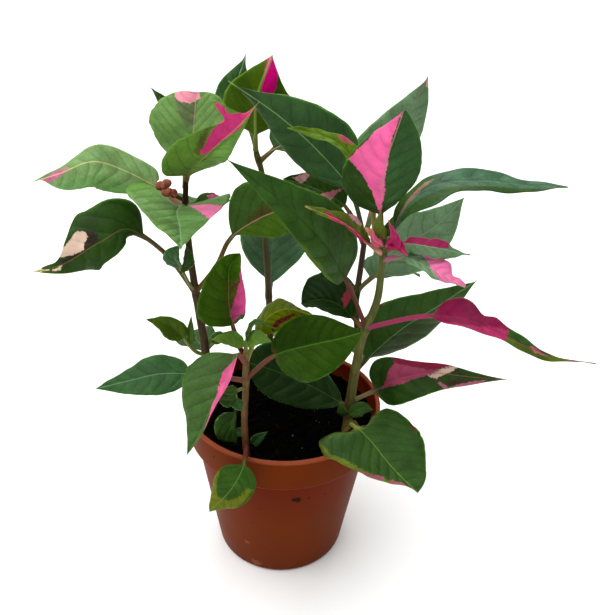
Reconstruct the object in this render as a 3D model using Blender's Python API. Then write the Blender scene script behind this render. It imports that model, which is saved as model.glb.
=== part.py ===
# Potted alternanthera: a plastic nursery pot of soil with five leafy stems.
# Lengths below are in millimetres, with the origin at the middle of the pot's base.
# x runs to the viewer's right, y away from the viewer and z up.

import math

import bpy
import bmesh
import numpy as np
from mathutils import Vector

MM = 0.001
CLEARANCE = 0.3

# Pot
POT_HEIGHT = 94.0
RIM_RADIUS = 52.5
COLLAR_HEIGHT = 19.5
COLLAR_FOOT_RADIUS = 50.8
BODY_TOP_RADIUS = 47.4
BASE_RADIUS = 35.8
BASE_FILLET = 3.0
LIP_RADIUS = 1.1
COLLAR_EDGE = 1.0
COLLAR_CHAMFER = 0.6
SHOULDER_DROP = 1.0
SHOULDER_RISE = 1.5
WALL = 1.8
FLOOR = 2.5
CORNER_INSET = 1.0
CORNER_RISE = 2.0
POT_SIDES = 40
DRAIN_HOLES = 6
DRAIN_RADIUS = 3.5
DRAIN_CIRCLE = 24.0
DRAIN_SIDES = 16

# Soil
SOIL_TOP = 82.0
SOIL_RELIEF = 1.2
SOIL_RINGS = 5
HOLE_DEPTH = 24.0

# Foliage
BLADE = 0.8
PETIOLE = 1.15
RIB_DEPTH = 0.7
NECK = 4.0
LONG_PETIOLE = 9.0
FLATTENING = 0.06
WAVE = 0.8
WAVES = 2.0
WAVE_STARTS = (0.15, 0.45)
STEM_SIDES = 8
STEM_RINGS = 12
STEM_FACE = (0.3, -1, 0.1)
STALK_SIDES = 6
STALK_RINGS = 4
SMALL_FOLD = (14, 14)
SMALL_PETIOLE = 0.7
SMALL_ROOT = 1.5
ROOT_LEAN = 0.85
NODE_SWELL = 0.35
NODE_REACH = 3.0
RING_GAP = 0.8
DOME = (math.radians(40), math.radians(75))

# Colours, as they look in soft light
TERRACOTTA = (0.36, 0.105, 0.045)
SOIL_COLOUR = (0.012, 0.008, 0.006)
BARK = (0.09, 0.035, 0.018)
GREEN_BARK = (0.16, 0.13, 0.035)
LEAF_GREEN = (0.045, 0.13, 0.03)
LIGHT_GREEN = (0.13, 0.24, 0.06)
DARK_GREEN = (0.02, 0.065, 0.025)
MAGENTA = (0.45, 0.02, 0.16)
BUD_RED = (0.3, 0.05, 0.03)

# A stem is its route from the soil up, its radius at foot and top, and its nodes' heights
STEMS = {
    "stem_left": dict(
        route=[(-40, 8, 82), (-42, 5, 123), (-45, 3, 155), (-47, 0, 187), (-47, -2, 207), (-46, -4, 217)],
        radius=(2.7, 1.2), nodes=(155, 204), colour=BARK),
    "stem_front": dict(
        route=[(-18, -33, 82), (-19, -33, 105), (-18, -33, 128), (-18, -33, 144)],
        radius=(1.7, 1.5), nodes=(130,), colour=BARK),
    "stem_middle": dict(
        route=[(-7, 19, 82), (-9, 20, 146), (-11, 22, 176), (-13, 24, 212), (-16, 25, 222)],
        radius=(2.0, 1.3), nodes=(146, 218), colour=BARK),
    "stem_back": dict(
        route=[(39, 14, 82), (40, 15, 100), (40, 16, 118), (37, 15, 147), (38, 15, 165), (39, 14, 186)],
        radius=(2.0, 1.4), nodes=(152, 184), colour=BARK),
    "stem_right": dict(
        route=[(34, -12, 82), (35, -12, 101), (36, -13, 121), (38, -13, 139), (44, -15, 166),
               (44, -17, 181), (44, -19, 194)],
        radius=(2.7, 1.5), nodes=(100, 147, 190), colour=GREEN_BARK),
}

# A leaf runs from its stem to its heel, along its midrib and out to its tip. face is the way its
# upper side looks, half_width its left and right halves, and fold lifts those halves, in degrees.
LEAVES = {
    "leaf_far_left": dict(
        stem="stem_left", level=201, heel=(-62, 4, 210.5),
        rib=[(-73, 1, 218), (-86, -4, 224), (-102, -4, 218)], tip=(-113, -3, 214),
        half_width=(13, 11.5), face=(0, -4, 2), fold=(-8, -20), powers=(0.55, 1.0),
        right_powers=(0.35, 2.2), lobe=2, colour=LIGHT_GREEN),
    "leaf_left_front": dict(
        stem="stem_left", level=203, heel=(-49, -6, 204), rib=[(-46, -28, 203)], tip=(-43, -46, 201),
        half_width=(25, 24), face=(0, 0, 1), fold=(13, 25), powers=(0.46, 1.8), lobe=8,
        colour=LIGHT_GREEN),
    "leaf_left_inner": dict(
        stem="stem_left", level=204, heel=(-43, -1, 204), rib=[(-37, 4, 203)], tip=(-27, 8, 203),
        half_width=(5, 5), face=(0, -3, 2), fold=(20, 0), colour=MAGENTA),
    "leaf_left_low": dict(
        stem="stem_left", level=155, stalk=[(-60, 0, 180)], heel=(-68, -2, 188),
        rib=[(-74, -6, 193), (-85, -12, 189), (-103, -14, 178)], tip=(-121, -10, 171),
        half_width=(9.5, 15.5), face=(1, -4, 2), fold=(-7, -5), powers=(1.0, 1.0),
        right_powers=(0.5, 1.6), wave=-2.0, colour=LEAF_GREEN),
    "leaf_horned": dict(
        stem="stem_left", level=216, heel=(-45, -5, 219),
        rib=[(-38, -11, 228), (-28, -18, 239), (-20, -22, 247)], tip=(-12, -24, 257),
        half_width=(17, 9), face=(1, -4, 0.5), fold=(16, -12), powers=(0.6, 1.3), twist=60,
        colour=MAGENTA),
    "leaf_round_back": dict(
        stem="stem_left", level=217, heel=(-45, 3, 223), rib=[(-43, 8, 238)], tip=(-42, 15, 249),
        half_width=(20, 18), face=(-1, -4, 1), fold=(15, 20), powers=(0.5, 0.4), colour=LIGHT_GREEN),
    "leaf_left_spike": dict(
        stem="stem_left", level=212, heel=(-49, 12, 226), rib=[(-53, 20, 238)], tip=(-65, 26, 251),
        half_width=(7, 7), face=(-1, 0, 2), fold=(15, 15), powers=(0.7, 1.6), colour=LEAF_GREEN),
    "leaf_crown_back": dict(
        stem="stem_middle", level=216, heel=(-19, 30, 232), rib=[(-26, 36, 245)], tip=(-21, 36, 265),
        half_width=(12, 13), face=(-1, -4, 1), fold=(2, 0), powers=(0.6, 1.5), colour=LEAF_GREEN),
    "leaf_crown": dict(
        stem="stem_middle", level=222, heel=(-16, 22, 231), rib=[(-15, 14, 249)], tip=(-8, 12, 269),
        half_width=(18, 16), face=(0, 4, 1), fold=(18, 15), powers=(0.66, 1.3), colour=LIGHT_GREEN),
    "leaf_top_centre": dict(
        stem="stem_back", level=183, heel=(29, 10, 210), rib=[(14, 6, 228), (-4, 0, 245)],
        tip=(-26, -6, 261), half_width=(15, 18), face=(-2, -3, 1.5), fold=(-20, -8), powers=(0.78, 1.7),
        colour=DARK_GREEN),
    "leaf_centre": dict(
        stem="stem_right", level=147, heel=(27, -22, 178), rib=[(17, -28, 197), (-3, -34, 219)],
        tip=(-25, -36, 237), half_width=(12, 16), face=(1.3, -3.2, 2), fold=(15, 8), powers=(0.54, 1.4),
        colour=DARK_GREEN),
    "leaf_behind_centre": dict(
        stem="stem_back", level=179, heel=(28, 18, 198), rib=[(13, 20, 206)], tip=(-3, 24, 209),
        half_width=(10, 10), face=(0, -2, 2), fold=(14, 14), colour=MAGENTA),
    "leaf_left_partner": dict(
        stem="stem_left", level=156, stalk=[(-34, 1, 172)], heel=(-26, 0, 188),
        rib=[(-16, 2, 195), (-7, 4, 199)], tip=(14, 6, 201), half_width=(17, 12), face=(0.5, -4, 1),
        fold=(10, -10), powers=(0.6, 1.2), colour=LEAF_GREEN),
    "leaf_teal": dict(
        stem="stem_middle", level=146, heel=(-8, 24, 151), rib=[(-8, 30, 161)], tip=(-7, 42, 188),
        half_width=(18, 19), face=(0.7, -3.5, 1.7), fold=(10, 6), powers=(1.0, 0.7), colour=DARK_GREEN),
    "leaf_front_upright": dict(
        stem="stem_front", level=140, stalk=[(-22, -30.5, 148)], heel=(-24, -30, 157),
        rib=[(-25, -36, 178), (-23, -36, 192)], tip=(-20, -34, 195), half_width=(16, 11),
        face=(0.6, -4, 1), fold=(25, 48), powers=(0.8, 0.75), colour=LEAF_GREEN),
    "leaf_front_lit": dict(
        stem="stem_front", level=139, heel=(-13, -26, 149), rib=[(-8, -22, 157), (-1, -20, 160)],
        tip=(13, -18, 156), half_width=(11, 10), face=(0, -0.5, 4), fold=(-7, -30), powers=(0.73, 0.9),
        colour=LIGHT_GREEN),
    "leaf_front_heart": dict(
        stem="stem_front", level=129, heel=(-4, -38, 146), rib=[(13, -44, 156), (26, -46, 161)],
        tip=(34, -46, 164), half_width=(14, 16), face=(0, -3, 2.5), fold=(0, 0), powers=(0.6, 0.95),
        lobe=2, colour=LEAF_GREEN),
    "leaf_low_shaded": dict(
        stem="stem_right", level=97, heel=(31, -11, 99), rib=[(14, -8, 108), (-5, -8, 117)],
        tip=(-18, -10, 123), half_width=(17, 18), face=(0, -2.2, 3.3), fold=(12, -10),
        powers=(0.7, 0.45), colour=DARK_GREEN),
    "leaf_low_heart": dict(
        stem="stem_right", level=88, stalk=[(36.5, -22, 93)], heel=(39, -29, 96),
        rib=[(44, -43, 98), (51, -55, 92)], tip=(66, -56, 78), half_width=(25, 25), face=(0.5, -1, 4),
        fold=(6, 4), powers=(0.5, 0.6), right_powers=(0.4, 1.4), lobe=7, colour=LIGHT_GREEN),
    "leaf_right_low": dict(
        stem="stem_right", level=101, heel=(48, -6, 104),
        rib=[(60, -10, 115), (75, -12, 120), (94, -16, 121)], tip=(114, -18, 121), half_width=(11, 13),
        face=(0, -3.4, 2.1), fold=(35, 15), powers=(0.42, 1.5), colour=LEAF_GREEN),
    "leaf_front_left": dict(
        stem="stem_front", level=138, heel=(-22, -42, 148),
        rib=[(-26, -52, 141), (-31, -58, 133), (-36, -62, 121)], tip=(-43, -62, 107),
        half_width=(9, 19), face=(-0.5, -3.4, 2), fold=(68, -8), powers=(0.46, 1.25),
        colour=LIGHT_GREEN),
    "leaf_left_lowest": dict(
        stem="stem_front", level=128, heel=(-44, -34, 132), rib=[(-58, -36, 133), (-72, -36, 129)],
        tip=(-90, -34, 122), half_width=(10, 10), face=(0, -2.5, 3), fold=(4, -6), powers=(0.55, 1.3),
        colour=LEAF_GREEN),
    "leaf_right_high": dict(
        stem="stem_right", level=188, heel=(47.5, -15.5, 197),
        rib=[(51, -17, 208), (60, -16, 218), (85, -10, 222), (109, -6, 219)], tip=(128, -4, 218),
        half_width=(8, 8), face=(0, -0.4, 4), fold=(12, -6), powers=(1.0, 0.9), colour=LEAF_GREEN),
    "leaf_right_back": dict(
        stem="stem_back", level=153, heel=(47, 12, 165), rib=[(59, 14, 179), (73, 15, 189)],
        tip=(86, 14, 206), half_width=(15, 16), face=(0.5, -3.7, 1.4), fold=(11, 3), powers=(0.75, 1.3),
        colour=DARK_GREEN),
    "leaf_right_curled": dict(
        stem="stem_right", level=191, heel=(53, -20, 195), rib=[(64, -25, 199)], tip=(82, -24, 192),
        half_width=(5, 6), face=(0, -1.4, 3.8), fold=(20, -10), colour=MAGENTA),
    "leaf_right_folded": dict(
        stem="stem_right", level=186, heel=(52, -23, 190), rib=[(63, -32, 189)], tip=(77, -42, 185),
        half_width=(9, 9), face=(0, -0.5, 4), fold=(4, 14), powers=(0.8, 0.8), colour=LEAF_GREEN),
    "leaf_right_middle": dict(
        stem="stem_back", level=102, heel=(45, 7, 116), rib=[(61, 10, 132), (81, 12, 147)],
        tip=(99, 14, 161), half_width=(18, 16), face=(1, -4, 1), fold=(-10, -20), powers=(0.6, 1.3),
        colour=DARK_GREEN),
    "leaf_right_long": dict(
        stem="stem_right", level=147, heel=(67, -32, 165),
        rib=[(77, -40, 169), (94, -46, 165), (112, -50, 158)], tip=(140, -48, 151), half_width=(6, 6),
        face=(0, -0.8, 4), fold=(15, 8), powers=(0.4, 1.3), colour=MAGENTA),
    "leaf_top_right": dict(
        stem="stem_back", level=186, heel=(43, 14, 200), rib=[(49, 17, 227), (55, 18, 243)],
        tip=(62, 18, 261), half_width=(19, 13), face=(0.7, -3.9, 0.6), fold=(-10, -15),
        powers=(0.9, 1.5), right_powers=(1.0, 1.05), colour=LEAF_GREEN),
    "leaf_pink_peak": dict(
        stem="stem_right", level=191, stalk=[(43, -15, 198)], heel=(41, -20, 209),
        rib=[(40, -27, 233), (43, -30, 249)], tip=(45, -30, 257), half_width=(18, 15),
        face=(-0.4, -4, 1), fold=(-12, -10), powers=(0.6, 1.3), right_powers=(0.8, 0.8),
        colour=MAGENTA),
    "leaf_centre_strip": dict(
        stem="stem_right", level=187, stalk=[(40, -12, 198)], heel=(37, -13, 215), rib=[(20, -8, 237)],
        tip=(-1, -10, 243), half_width=(6, 6), face=(0, -1, 4), fold=(15, 15), colour=LIGHT_GREEN),
    "leaf_crown_left": dict(
        stem="stem_right", level=189, heel=(37, -22, 195), rib=[(25, -28, 207)], tip=(7, -34, 217),
        half_width=(5, 5), face=(0, -2, 3), fold=(30, 30), powers=(0.6, 1.2), colour=MAGENTA),
    "leaf_below_centre": dict(
        stem="stem_right", level=146, heel=(33, -11, 151), rib=[(27, -8, 156), (19, -4, 157)],
        tip=(8, 0, 153), half_width=(13, 15), face=(0, -1.6, 3.6), fold=(26, 45), powers=(0.75, 0.75),
        colour=DARK_GREEN),
    "leaf_over_rim": dict(
        stem="stem_front", level=88, stalk=[(-17.5, -47, 96.5)], heel=(-18, -55, 95),
        rib=[(-23, -59, 85)], tip=(-34.5, -60, 70), half_width=(10, 10), face=(0.4, -3, 2.6),
        fold=(-5, 3), powers=(0.6, 1.1), colour=LEAF_GREEN),
    "leaf_back_left": dict(
        stem="stem_left", level=188, heel=(-46, 10, 192), rib=[(-45, 26, 195)], tip=(-43, 48, 186),
        half_width=(12, 12), face=(0, 0, 1), fold=(12, 12), colour=LEAF_GREEN),
    "leaf_back_low": dict(
        stem="stem_middle", level=108, heel=(-4, 28, 114), rib=[(2, 42, 117)], tip=(9, 62, 106),
        half_width=(14, 14), face=(0, 0, 1), fold=(10, 10), colour=LEAF_GREEN),
    "leaf_back_middle": dict(
        stem="stem_middle", level=217, heel=(-7, 30, 222), rib=[(5, 37, 226)], tip=(22, 44, 218),
        half_width=(13, 13), face=(0, -1, 3), fold=(10, 10), colour=LEAF_GREEN),
    "leaf_back_right": dict(
        stem="stem_back", level=152, heel=(45, 24, 156), rib=[(58, 36, 158)], tip=(76, 46, 146),
        half_width=(13, 13), face=(0, 0, 1), fold=(10, 10), colour=LEAF_GREEN),
    "leaf_back_high": dict(
        stem="stem_back", level=184, heel=(42, 22, 194), rib=[(48, 34, 203)], tip=(58, 50, 206),
        half_width=(12, 12), face=(0, -1, 2), fold=(10, 10), colour=LEAF_GREEN),
    "leaf_back_lowest": dict(
        stem="stem_left", level=108, heel=(-44, 17, 112), rib=[(-52, 30, 114)], tip=(-62, 46, 104),
        half_width=(12, 12), face=(0, 0, 1), fold=(10, 10), colour=LEAF_GREEN),
    "leaf_back_foot": dict(
        stem="stem_back", level=98, heel=(44, 25, 104), rib=[(47, 40, 106)], tip=(52, 60, 96),
        half_width=(13, 13), face=(0, 0, 1), fold=(10, 10), colour=LEAF_GREEN),
}

# A sprig is a short stalk from its stem with small leaves, each from a point in the stalk to a tip.
SPRIGS = {
    "sprig_left": dict(
        stem="stem_left", level=157, stalk=[(-47, -1, 162), (-49, -5, 170)], stalk_radius=0.8,
        colour=LEAF_GREEN,
        leaves=[
            dict(heel=(-50, -6, 172), rib=[(-53, -9, 180)], tip=(-50, -9, 187), half_width=4.5,
                 face=(-1, -3, 1)),
            dict(heel=(-49, -5, 171), rib=[(-47, -7, 177)], tip=(-47, -7, 186), half_width=3,
                 face=(3, -1, 0)),
        ]),
    "sprig_left_low": dict(
        stem="stem_left", level=117, stalk=[(-46, 2, 121), (-51, -2, 131)], stalk_radius=1.1,
        colour=LEAF_GREEN,
        leaves=[
            dict(heel=(-51.3, -2.4, 132), rib=[(-59, -5, 142)], tip=(-69, -6, 145), half_width=6,
                 face=(-1, -3, 1)),
            dict(heel=(-48.5, -0.2, 127), rib=[(-48, -2, 134)], tip=(-47, -3, 146), half_width=2.2,
                 face=(0, -3, 0)),
        ]),
    "sprig_left_inner": dict(
        stem="stem_left", level=119, stalk=[(-38, 9, 122)], stalk_radius=0.8, colour=DARK_GREEN,
        leaves=[
            dict(heel=(-38, 9, 122), rib=[(-35, 11, 125)], tip=(-30, 13, 124), half_width=3.5,
                 face=(0, -2, 2)),
        ]),
    "sprig_front_top": dict(
        stem="stem_front", level=145, stalk=[(-18, -33, 150)], stalk_radius=1.1, colour=LIGHT_GREEN,
        leaves=[
            dict(heel=(-18.5, -33.5, 149.5), rib=[(-27, -38, 154)], tip=(-33, -40, 155), half_width=4,
                 face=(0, -2, 3)),
            dict(heel=(-17.5, -33.5, 149), rib=[(-12, -35, 153)], tip=(-6, -36, 152), half_width=4,
                 face=(0, -2, 3)),
            dict(heel=(-18, -32.5, 150), rib=[(-14, -30, 158)], tip=(-4, -28, 154), half_width=2.5,
                 face=(0, 0, 3)),
        ]),
    "sprig_front_node": dict(
        stem="stem_front", level=124, stalk=[(-22.5, -36.5, 124.5)], stalk_radius=0.9, colour=LIGHT_GREEN,
        leaves=[
            dict(heel=(-22, -36.3, 124.5), rib=[(-25, -40, 127)], tip=(-30, -43, 128), half_width=2.5,
                 face=(0, -2, 2)),
            dict(heel=(-22.5, -36.5, 124), rib=[(-25, -39, 121)], tip=(-27, -40, 116), half_width=3,
                 face=(-1, -3, 1)),
            dict(heel=(-22, -36.5, 124), rib=[(-22, -39, 119)], tip=(-23, -39, 113), half_width=3,
                 face=(0, -3, 1)),
        ]),
    "sprig_right_foot": dict(
        stem="stem_right", level=95, stalk=[(34, -17, 96.5)], stalk_radius=1.0, colour=LIGHT_GREEN,
        leaves=[
            dict(heel=(34.5, -17, 96.5), rib=[(41, -16, 100)], tip=(47, -14, 97.5), half_width=4,
                 face=(0, -3, 2)),
            dict(heel=(33.7, -17, 96), rib=[(31, -18, 99)], tip=(29, -18, 105), half_width=3,
                 face=(-1, -3, 0)),
        ]),
    "sprig_crown": dict(
        stem="stem_right", level=193, stalk=[(43.5, -20.5, 199)], stalk_radius=1.3, colour=MAGENTA,
        leaves=[
            dict(heel=(42.3, -21, 198.5), rib=[(38, -23, 202)], tip=(37, -23, 209), half_width=3,
                 face=(2, -2, 0)),
            dict(heel=(43, -22, 199), rib=[(42, -25, 203)], tip=(41, -26, 211), half_width=3,
                 face=(0, -3, 1)),
            dict(heel=(44, -20.5, 199), rib=[(46, -21, 203)], tip=(47.5, -21, 208), half_width=2.5,
                 face=(-2, -2, 0)),
            dict(heel=(45, -22, 198), rib=[(48, -27, 202)], tip=(44, -30, 211), half_width=4,
                 face=(-1, -3, 0)),
            dict(heel=(45, -21, 198), rib=[(50, -25, 196)], tip=(55, -27, 193), half_width=3,
                 face=(0, -3, 1)),
        ]),
}

# A seedling stands in the soil by itself.
SEEDLINGS = {
    "seedling_left": dict(
        stalk=[(-26, -24, 76), (-26, -24, 88), (-28, -25, 94)], stalk_radius=0.9, colour=LEAF_GREEN,
        leaves=[
            dict(heel=(-28, -25, 94), rib=[(-27, -27, 102)], tip=(-27, -28, 110), half_width=4.5,
                 face=(0, -3, 1)),
            dict(heel=(-27, -25, 91), rib=[(-30, -28, 95)], tip=(-32, -31, 97), half_width=3,
                 face=(0, -2, 3)),
        ]),
    "seedling_middle": dict(
        stalk=[(-13, -22, 76), (-13, -22, 86)], stalk_radius=0.8, colour=LEAF_GREEN,
        leaves=[
            dict(heel=(-13, -22, 86), rib=[(-16, -24, 89)], tip=(-20, -25, 93), half_width=2.5,
                 face=(0, -2, 2)),
            dict(heel=(-13, -22, 86), rib=[(-10, -23, 90)], tip=(-6, -24, 94), half_width=2.5,
                 face=(0, -2, 2)),
        ]),
}

# The flower buds sit in a cluster, each at a place with a radius.
BUD_STEM = "stem_left"
BUD_LEVEL = 206
BUD_STALK = [(-50.5, -4.5, 209), (-53, -7, 213)]
BUD_STALK_RADIUS = 0.9
BUDS = [(-57, -8, 215, 2.6), (-54, -10, 213, 2.8), (-51, -9, 212, 2.4), (-54, -7, 216, 2.5),
        (-55, -10, 216, 2.0)]
BUD_RINGS = 6
BUD_SIDES = 10

BLADE_STATIONS = (0.0, 0.08, 0.18, 0.32, 0.48, 0.64, 0.8, 0.92)
SMALL_STATIONS = (0.0, 0.2, 0.5, 0.82)


def material(name, colour, roughness):
    made = bpy.data.materials.new(name)
    made.use_nodes = True
    shader = made.node_tree.nodes["Principled BSDF"]
    shader.inputs["Base Color"].default_value = (*colour, 1.0)
    shader.inputs["Roughness"].default_value = roughness
    shader.inputs["Metallic"].default_value = 0.0
    return made


def add_object(name, points, faces, colour, roughness):
    mesh = bpy.data.meshes.new(name)
    mesh.from_pydata([Vector(point) * MM for point in points], [], faces)
    mesh.materials.append(material(name, colour, roughness))
    mesh.shade_smooth()
    made = bpy.data.objects.new(name, mesh)
    bpy.context.scene.collection.objects.link(made)
    return made


def smooth_route(points, count):
    """A smooth line through the points, with evenly spread samples."""
    points = np.array(points, float)
    knots = np.concatenate([[0], np.cumsum(np.linalg.norm(np.diff(points, axis=0), axis=1))])
    slopes = np.gradient(points, knots, axis=0)
    where = np.linspace(0, knots[-1], count)
    out = []
    for s in where:
        i = min(np.searchsorted(knots, s, side="right") - 1, len(knots) - 2)
        span = knots[i + 1] - knots[i]
        u = (s - knots[i]) / span
        start = (2 * u ** 3 - 3 * u ** 2 + 1) * points[i] + (u ** 3 - 2 * u ** 2 + u) * span * slopes[i]
        end = (3 * u ** 2 - 2 * u ** 3) * points[i + 1] + (u ** 3 - u ** 2) * span * slopes[i + 1]
        out.append(start + end)
    return np.array(out), where, knots


def unit(vector):
    return vector / np.linalg.norm(vector)


def at_height(line, height):
    """The point of a rising line at a height."""
    return np.array([np.interp(height, line[:, 2], line[:, axis]) for axis in range(3)])


def at_distance(line, where, distance):
    """The value of a sampled line at a distance along it."""
    return np.array([np.interp(distance, where, line[:, axis]) for axis in range(3)])


def frames_along(line, face, middle):
    """Directions along, up from and left of a line, whose middle sample faces a given way."""
    along = np.array([unit(step) for step in np.gradient(line, axis=0)])
    up = np.zeros_like(line)
    up[middle] = unit(np.array(face, float) - along[middle] * np.dot(face, along[middle]))
    for i in range(middle + 1, len(line)):
        up[i] = unit(up[i - 1] - along[i] * np.dot(up[i - 1], along[i]))
    for i in range(middle - 1, -1, -1):
        up[i] = unit(up[i + 1] - along[i] * np.dot(up[i + 1], along[i]))
    return along, up, np.cross(up, along)


def skin(rings, tip=None):
    """Triangles round a stack of rings, closed by a fan at the start and at the tip or end."""
    count = len(rings[0])
    half = count // 2
    points = [point for ring in rings for point in ring]
    faces = []
    for i in range(len(rings) - 1):
        for k in range(count):
            a, b = i * count + k, i * count + (k + 1) % count
            c, d = b + count, a + count
            if half <= k < count - 1:
                faces += [(a, b, d), (b, c, d)]
            else:
                faces += [(a, b, c), (a, c, d)]
    points.append(np.mean(rings[0], axis=0))
    faces += [(len(points) - 1, (k + 1) % count, k) for k in range(count)]
    last = (len(rings) - 1) * count
    points.append(np.mean(rings[-1], axis=0) if tip is None else tip)
    faces += [(last + k, last + (k + 1) % count, len(points) - 1) for k in range(count)]
    return points, faces


def stem_radius(spec, height):
    foot, top = spec["radius"]
    low, high = spec["route"][0][2], spec["route"][-1][2]
    radius = foot + (top - foot) * np.clip((height - low) / (high - low), 0, 1)
    for node in spec["nodes"]:
        radius += NODE_SWELL * math.exp(-((height - node) / NODE_REACH) ** 2)
    return radius


def stem_line(spec):
    x, y, z = spec["route"][0]
    root = (x * ROOT_LEAN, y * ROOT_LEAN, z - HOLE_DEPTH)
    return smooth_route([root, *spec["route"]], 500)[0]


def tube(line, radii, sides):
    along, up, left = frames_along(line, STEM_FACE, len(line) // 2)
    turns = np.radians(np.arange(sides) * 360 / sides)
    rings = []
    for centre, radius, n, s in zip(line, radii, up, left):
        rings.append([centre + radius * (s * math.cos(turn) + n * math.sin(turn)) for turn in turns])
    return skin(rings)


def stem_skin(spec, margin=0.0):
    """A stem with its swollen nodes and a domed top, or with a margin the hole that it stands in."""
    line = stem_line(spec)
    foot, top = line[0][2], line[-1][2]
    heights = list(np.linspace(foot, top, STEM_RINGS))
    for node in spec["nodes"]:
        if node + NODE_REACH < top:
            heights += [node - NODE_REACH, node, node + NODE_REACH]
    heights = sorted(heights)
    heights = [z for i, z in enumerate(heights) if i == 0 or z - heights[i - 1] > RING_GAP]
    centres = np.array([at_height(line, z) for z in heights])
    radii = [stem_radius(spec, z) for z in heights]
    up = unit(centres[-1] - centres[-2])
    dome = [(centres[-1] + up * radii[-1] * math.sin(a), radii[-1] * math.cos(a)) for a in DOME]
    centres = np.array([*centres, *[centre for centre, radius in dome]])
    centres[0][2] -= margin
    radii += [radius for centre, radius in dome]
    return tube(centres, [radius + margin for radius in radii], STEM_SIDES)


def make_stem(name, spec):
    add_object(name, *stem_skin(spec), spec["colour"], 0.6)


def start_of_petiole(line, axis, axis_radius, radius):
    """The first sample of a petiole whose flat end clears the stem by the usual gap."""
    along = np.gradient(line, axis=0)
    for i, point in enumerate(line[1:], 1):
        offsets = point - axis
        nearest = np.argmin(np.linalg.norm(offsets, axis=1))
        away = np.linalg.norm(offsets[nearest])
        straight = np.dot(offsets[nearest], unit(along[i])) / away
        if away - radius * math.sqrt(max(1 - straight ** 2, 0)) > axis_radius + CLEARANCE:
            return i
    return 0


def half_width_at(t, spec, side):
    """The breadth of a blade's left or right half along its length."""
    base, tip = spec.get("powers", (0.6, 1.15))
    if side < 0:
        base, tip = spec.get("right_powers", (base, tip))
    widest = base / (base + tip)
    share = (t / widest) ** base * ((1 - t) / (1 - widest)) ** tip
    return spec["half_width"][0 if side > 0 else 1] * share


def leaf_surface(spec, root, axis, axis_radius, stations, across):
    """The closed skin of a leaf: a round petiole that flattens into a ribbed, folded blade."""
    radius = spec.get("petiole", PETIOLE)
    stalk = spec.get("stalk", [])
    route = [root, *stalk, spec["heel"], *spec["rib"], spec["tip"]]
    line, where, knots = smooth_route(route, 300)
    heel, end = knots[1 + len(stalk)], knots[-1]
    middle = int(np.argmin(abs(where - (heel + end) / 2)))
    along, up, left = frames_along(line, spec["face"], middle)
    begin = where[start_of_petiole(line, axis, axis_radius, radius)] if axis is not None else 0.0
    neck = max(heel - NECK, (begin + heel) / 2)
    bare = [begin, (begin + neck) / 2, neck] if heel - begin > LONG_PETIOLE else [begin, neck]
    places = [(s, 0.0) for s in bare] + [(heel + t * (end - heel), t) for t in stations]
    sides = np.array([*across, *across[::-1]])
    faces = np.array([1] * len(across) + [-1] * len(across))
    turns = np.radians((np.arange(len(sides)) + 0.5) * 360 / len(sides))
    rings = []
    for s, t in places:
        centre, n, d = [at_distance(part, where, s) for part in (line, up, left)]
        forward = np.cross(d, n)
        flat = np.clip((s - neck) / (heel - neck + FLATTENING * (end - heel)), 0, 1)
        flat = flat * flat * (3 - 2 * flat)
        turned = math.radians(spec.get("twist", 0.0)) * (t - 0.5)
        n, d = n * math.cos(turned) + d * math.sin(turned), d * math.cos(turned) - n * math.sin(turned)
        ring = []
        for side, face, turn in zip(sides, faces, turns):
            fold = math.radians(spec["fold"][0] if side > 0 else spec["fold"][1]) if side else 0.0
            width = max(half_width_at(t, spec, side), radius * (1 - t))
            run, rise = side * width * math.cos(fold), abs(side) * width * math.sin(fold)
            wave = math.sin(2 * math.pi * (WAVES * t + WAVE_STARTS[0 if side > 0 else 1]))
            rise += spec.get("wave", WAVE) * side * side * wave
            normal = n * math.cos(fold) - d * np.sign(side) * math.sin(fold)
            rib = RIB_DEPTH * (1 - t) if side == 0 and face < 0 else 0.0
            back = spec.get("lobe", 0.0) * side * side * (1 - t) ** 4 if t > 0 else 0.0
            blade = centre + d * run + n * (rise - rib) + normal * face * BLADE / 2 - forward * back
            round_ = centre + radius * (d * math.cos(turn) + n * math.sin(turn))
            ring.append(round_ + (blade - round_) * flat)
        rings.append(ring)
    return skin(rings, line[-1])


def make_leaf(name, spec):
    stem = STEMS[spec["stem"]]
    axis = stem_line(stem)
    root = at_height(axis, spec["level"])
    reach = stem_radius(stem, spec["level"])
    points, faces = leaf_surface(spec, root, axis, reach, BLADE_STATIONS, (1, 0.5, 0, -0.5, -1))
    add_object(name, points, faces, spec["colour"], 0.4)


def inner_wall():
    """The pot's inner outline, from the floor up to the lip."""
    step = POT_HEIGHT - COLLAR_HEIGHT
    slope = (BODY_TOP_RADIUS - BASE_RADIUS) / step
    return [
        (BASE_RADIUS - WALL - CORNER_INSET, FLOOR),
        (BASE_RADIUS - WALL + slope * (FLOOR + CORNER_RISE), FLOOR + CORNER_RISE),
        (BODY_TOP_RADIUS - WALL, step - SHOULDER_DROP),
        (COLLAR_FOOT_RADIUS - WALL, step + SHOULDER_RISE),
        (RIM_RADIUS - WALL - LIP_RADIUS / 2, POT_HEIGHT - LIP_RADIUS),
    ]


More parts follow.
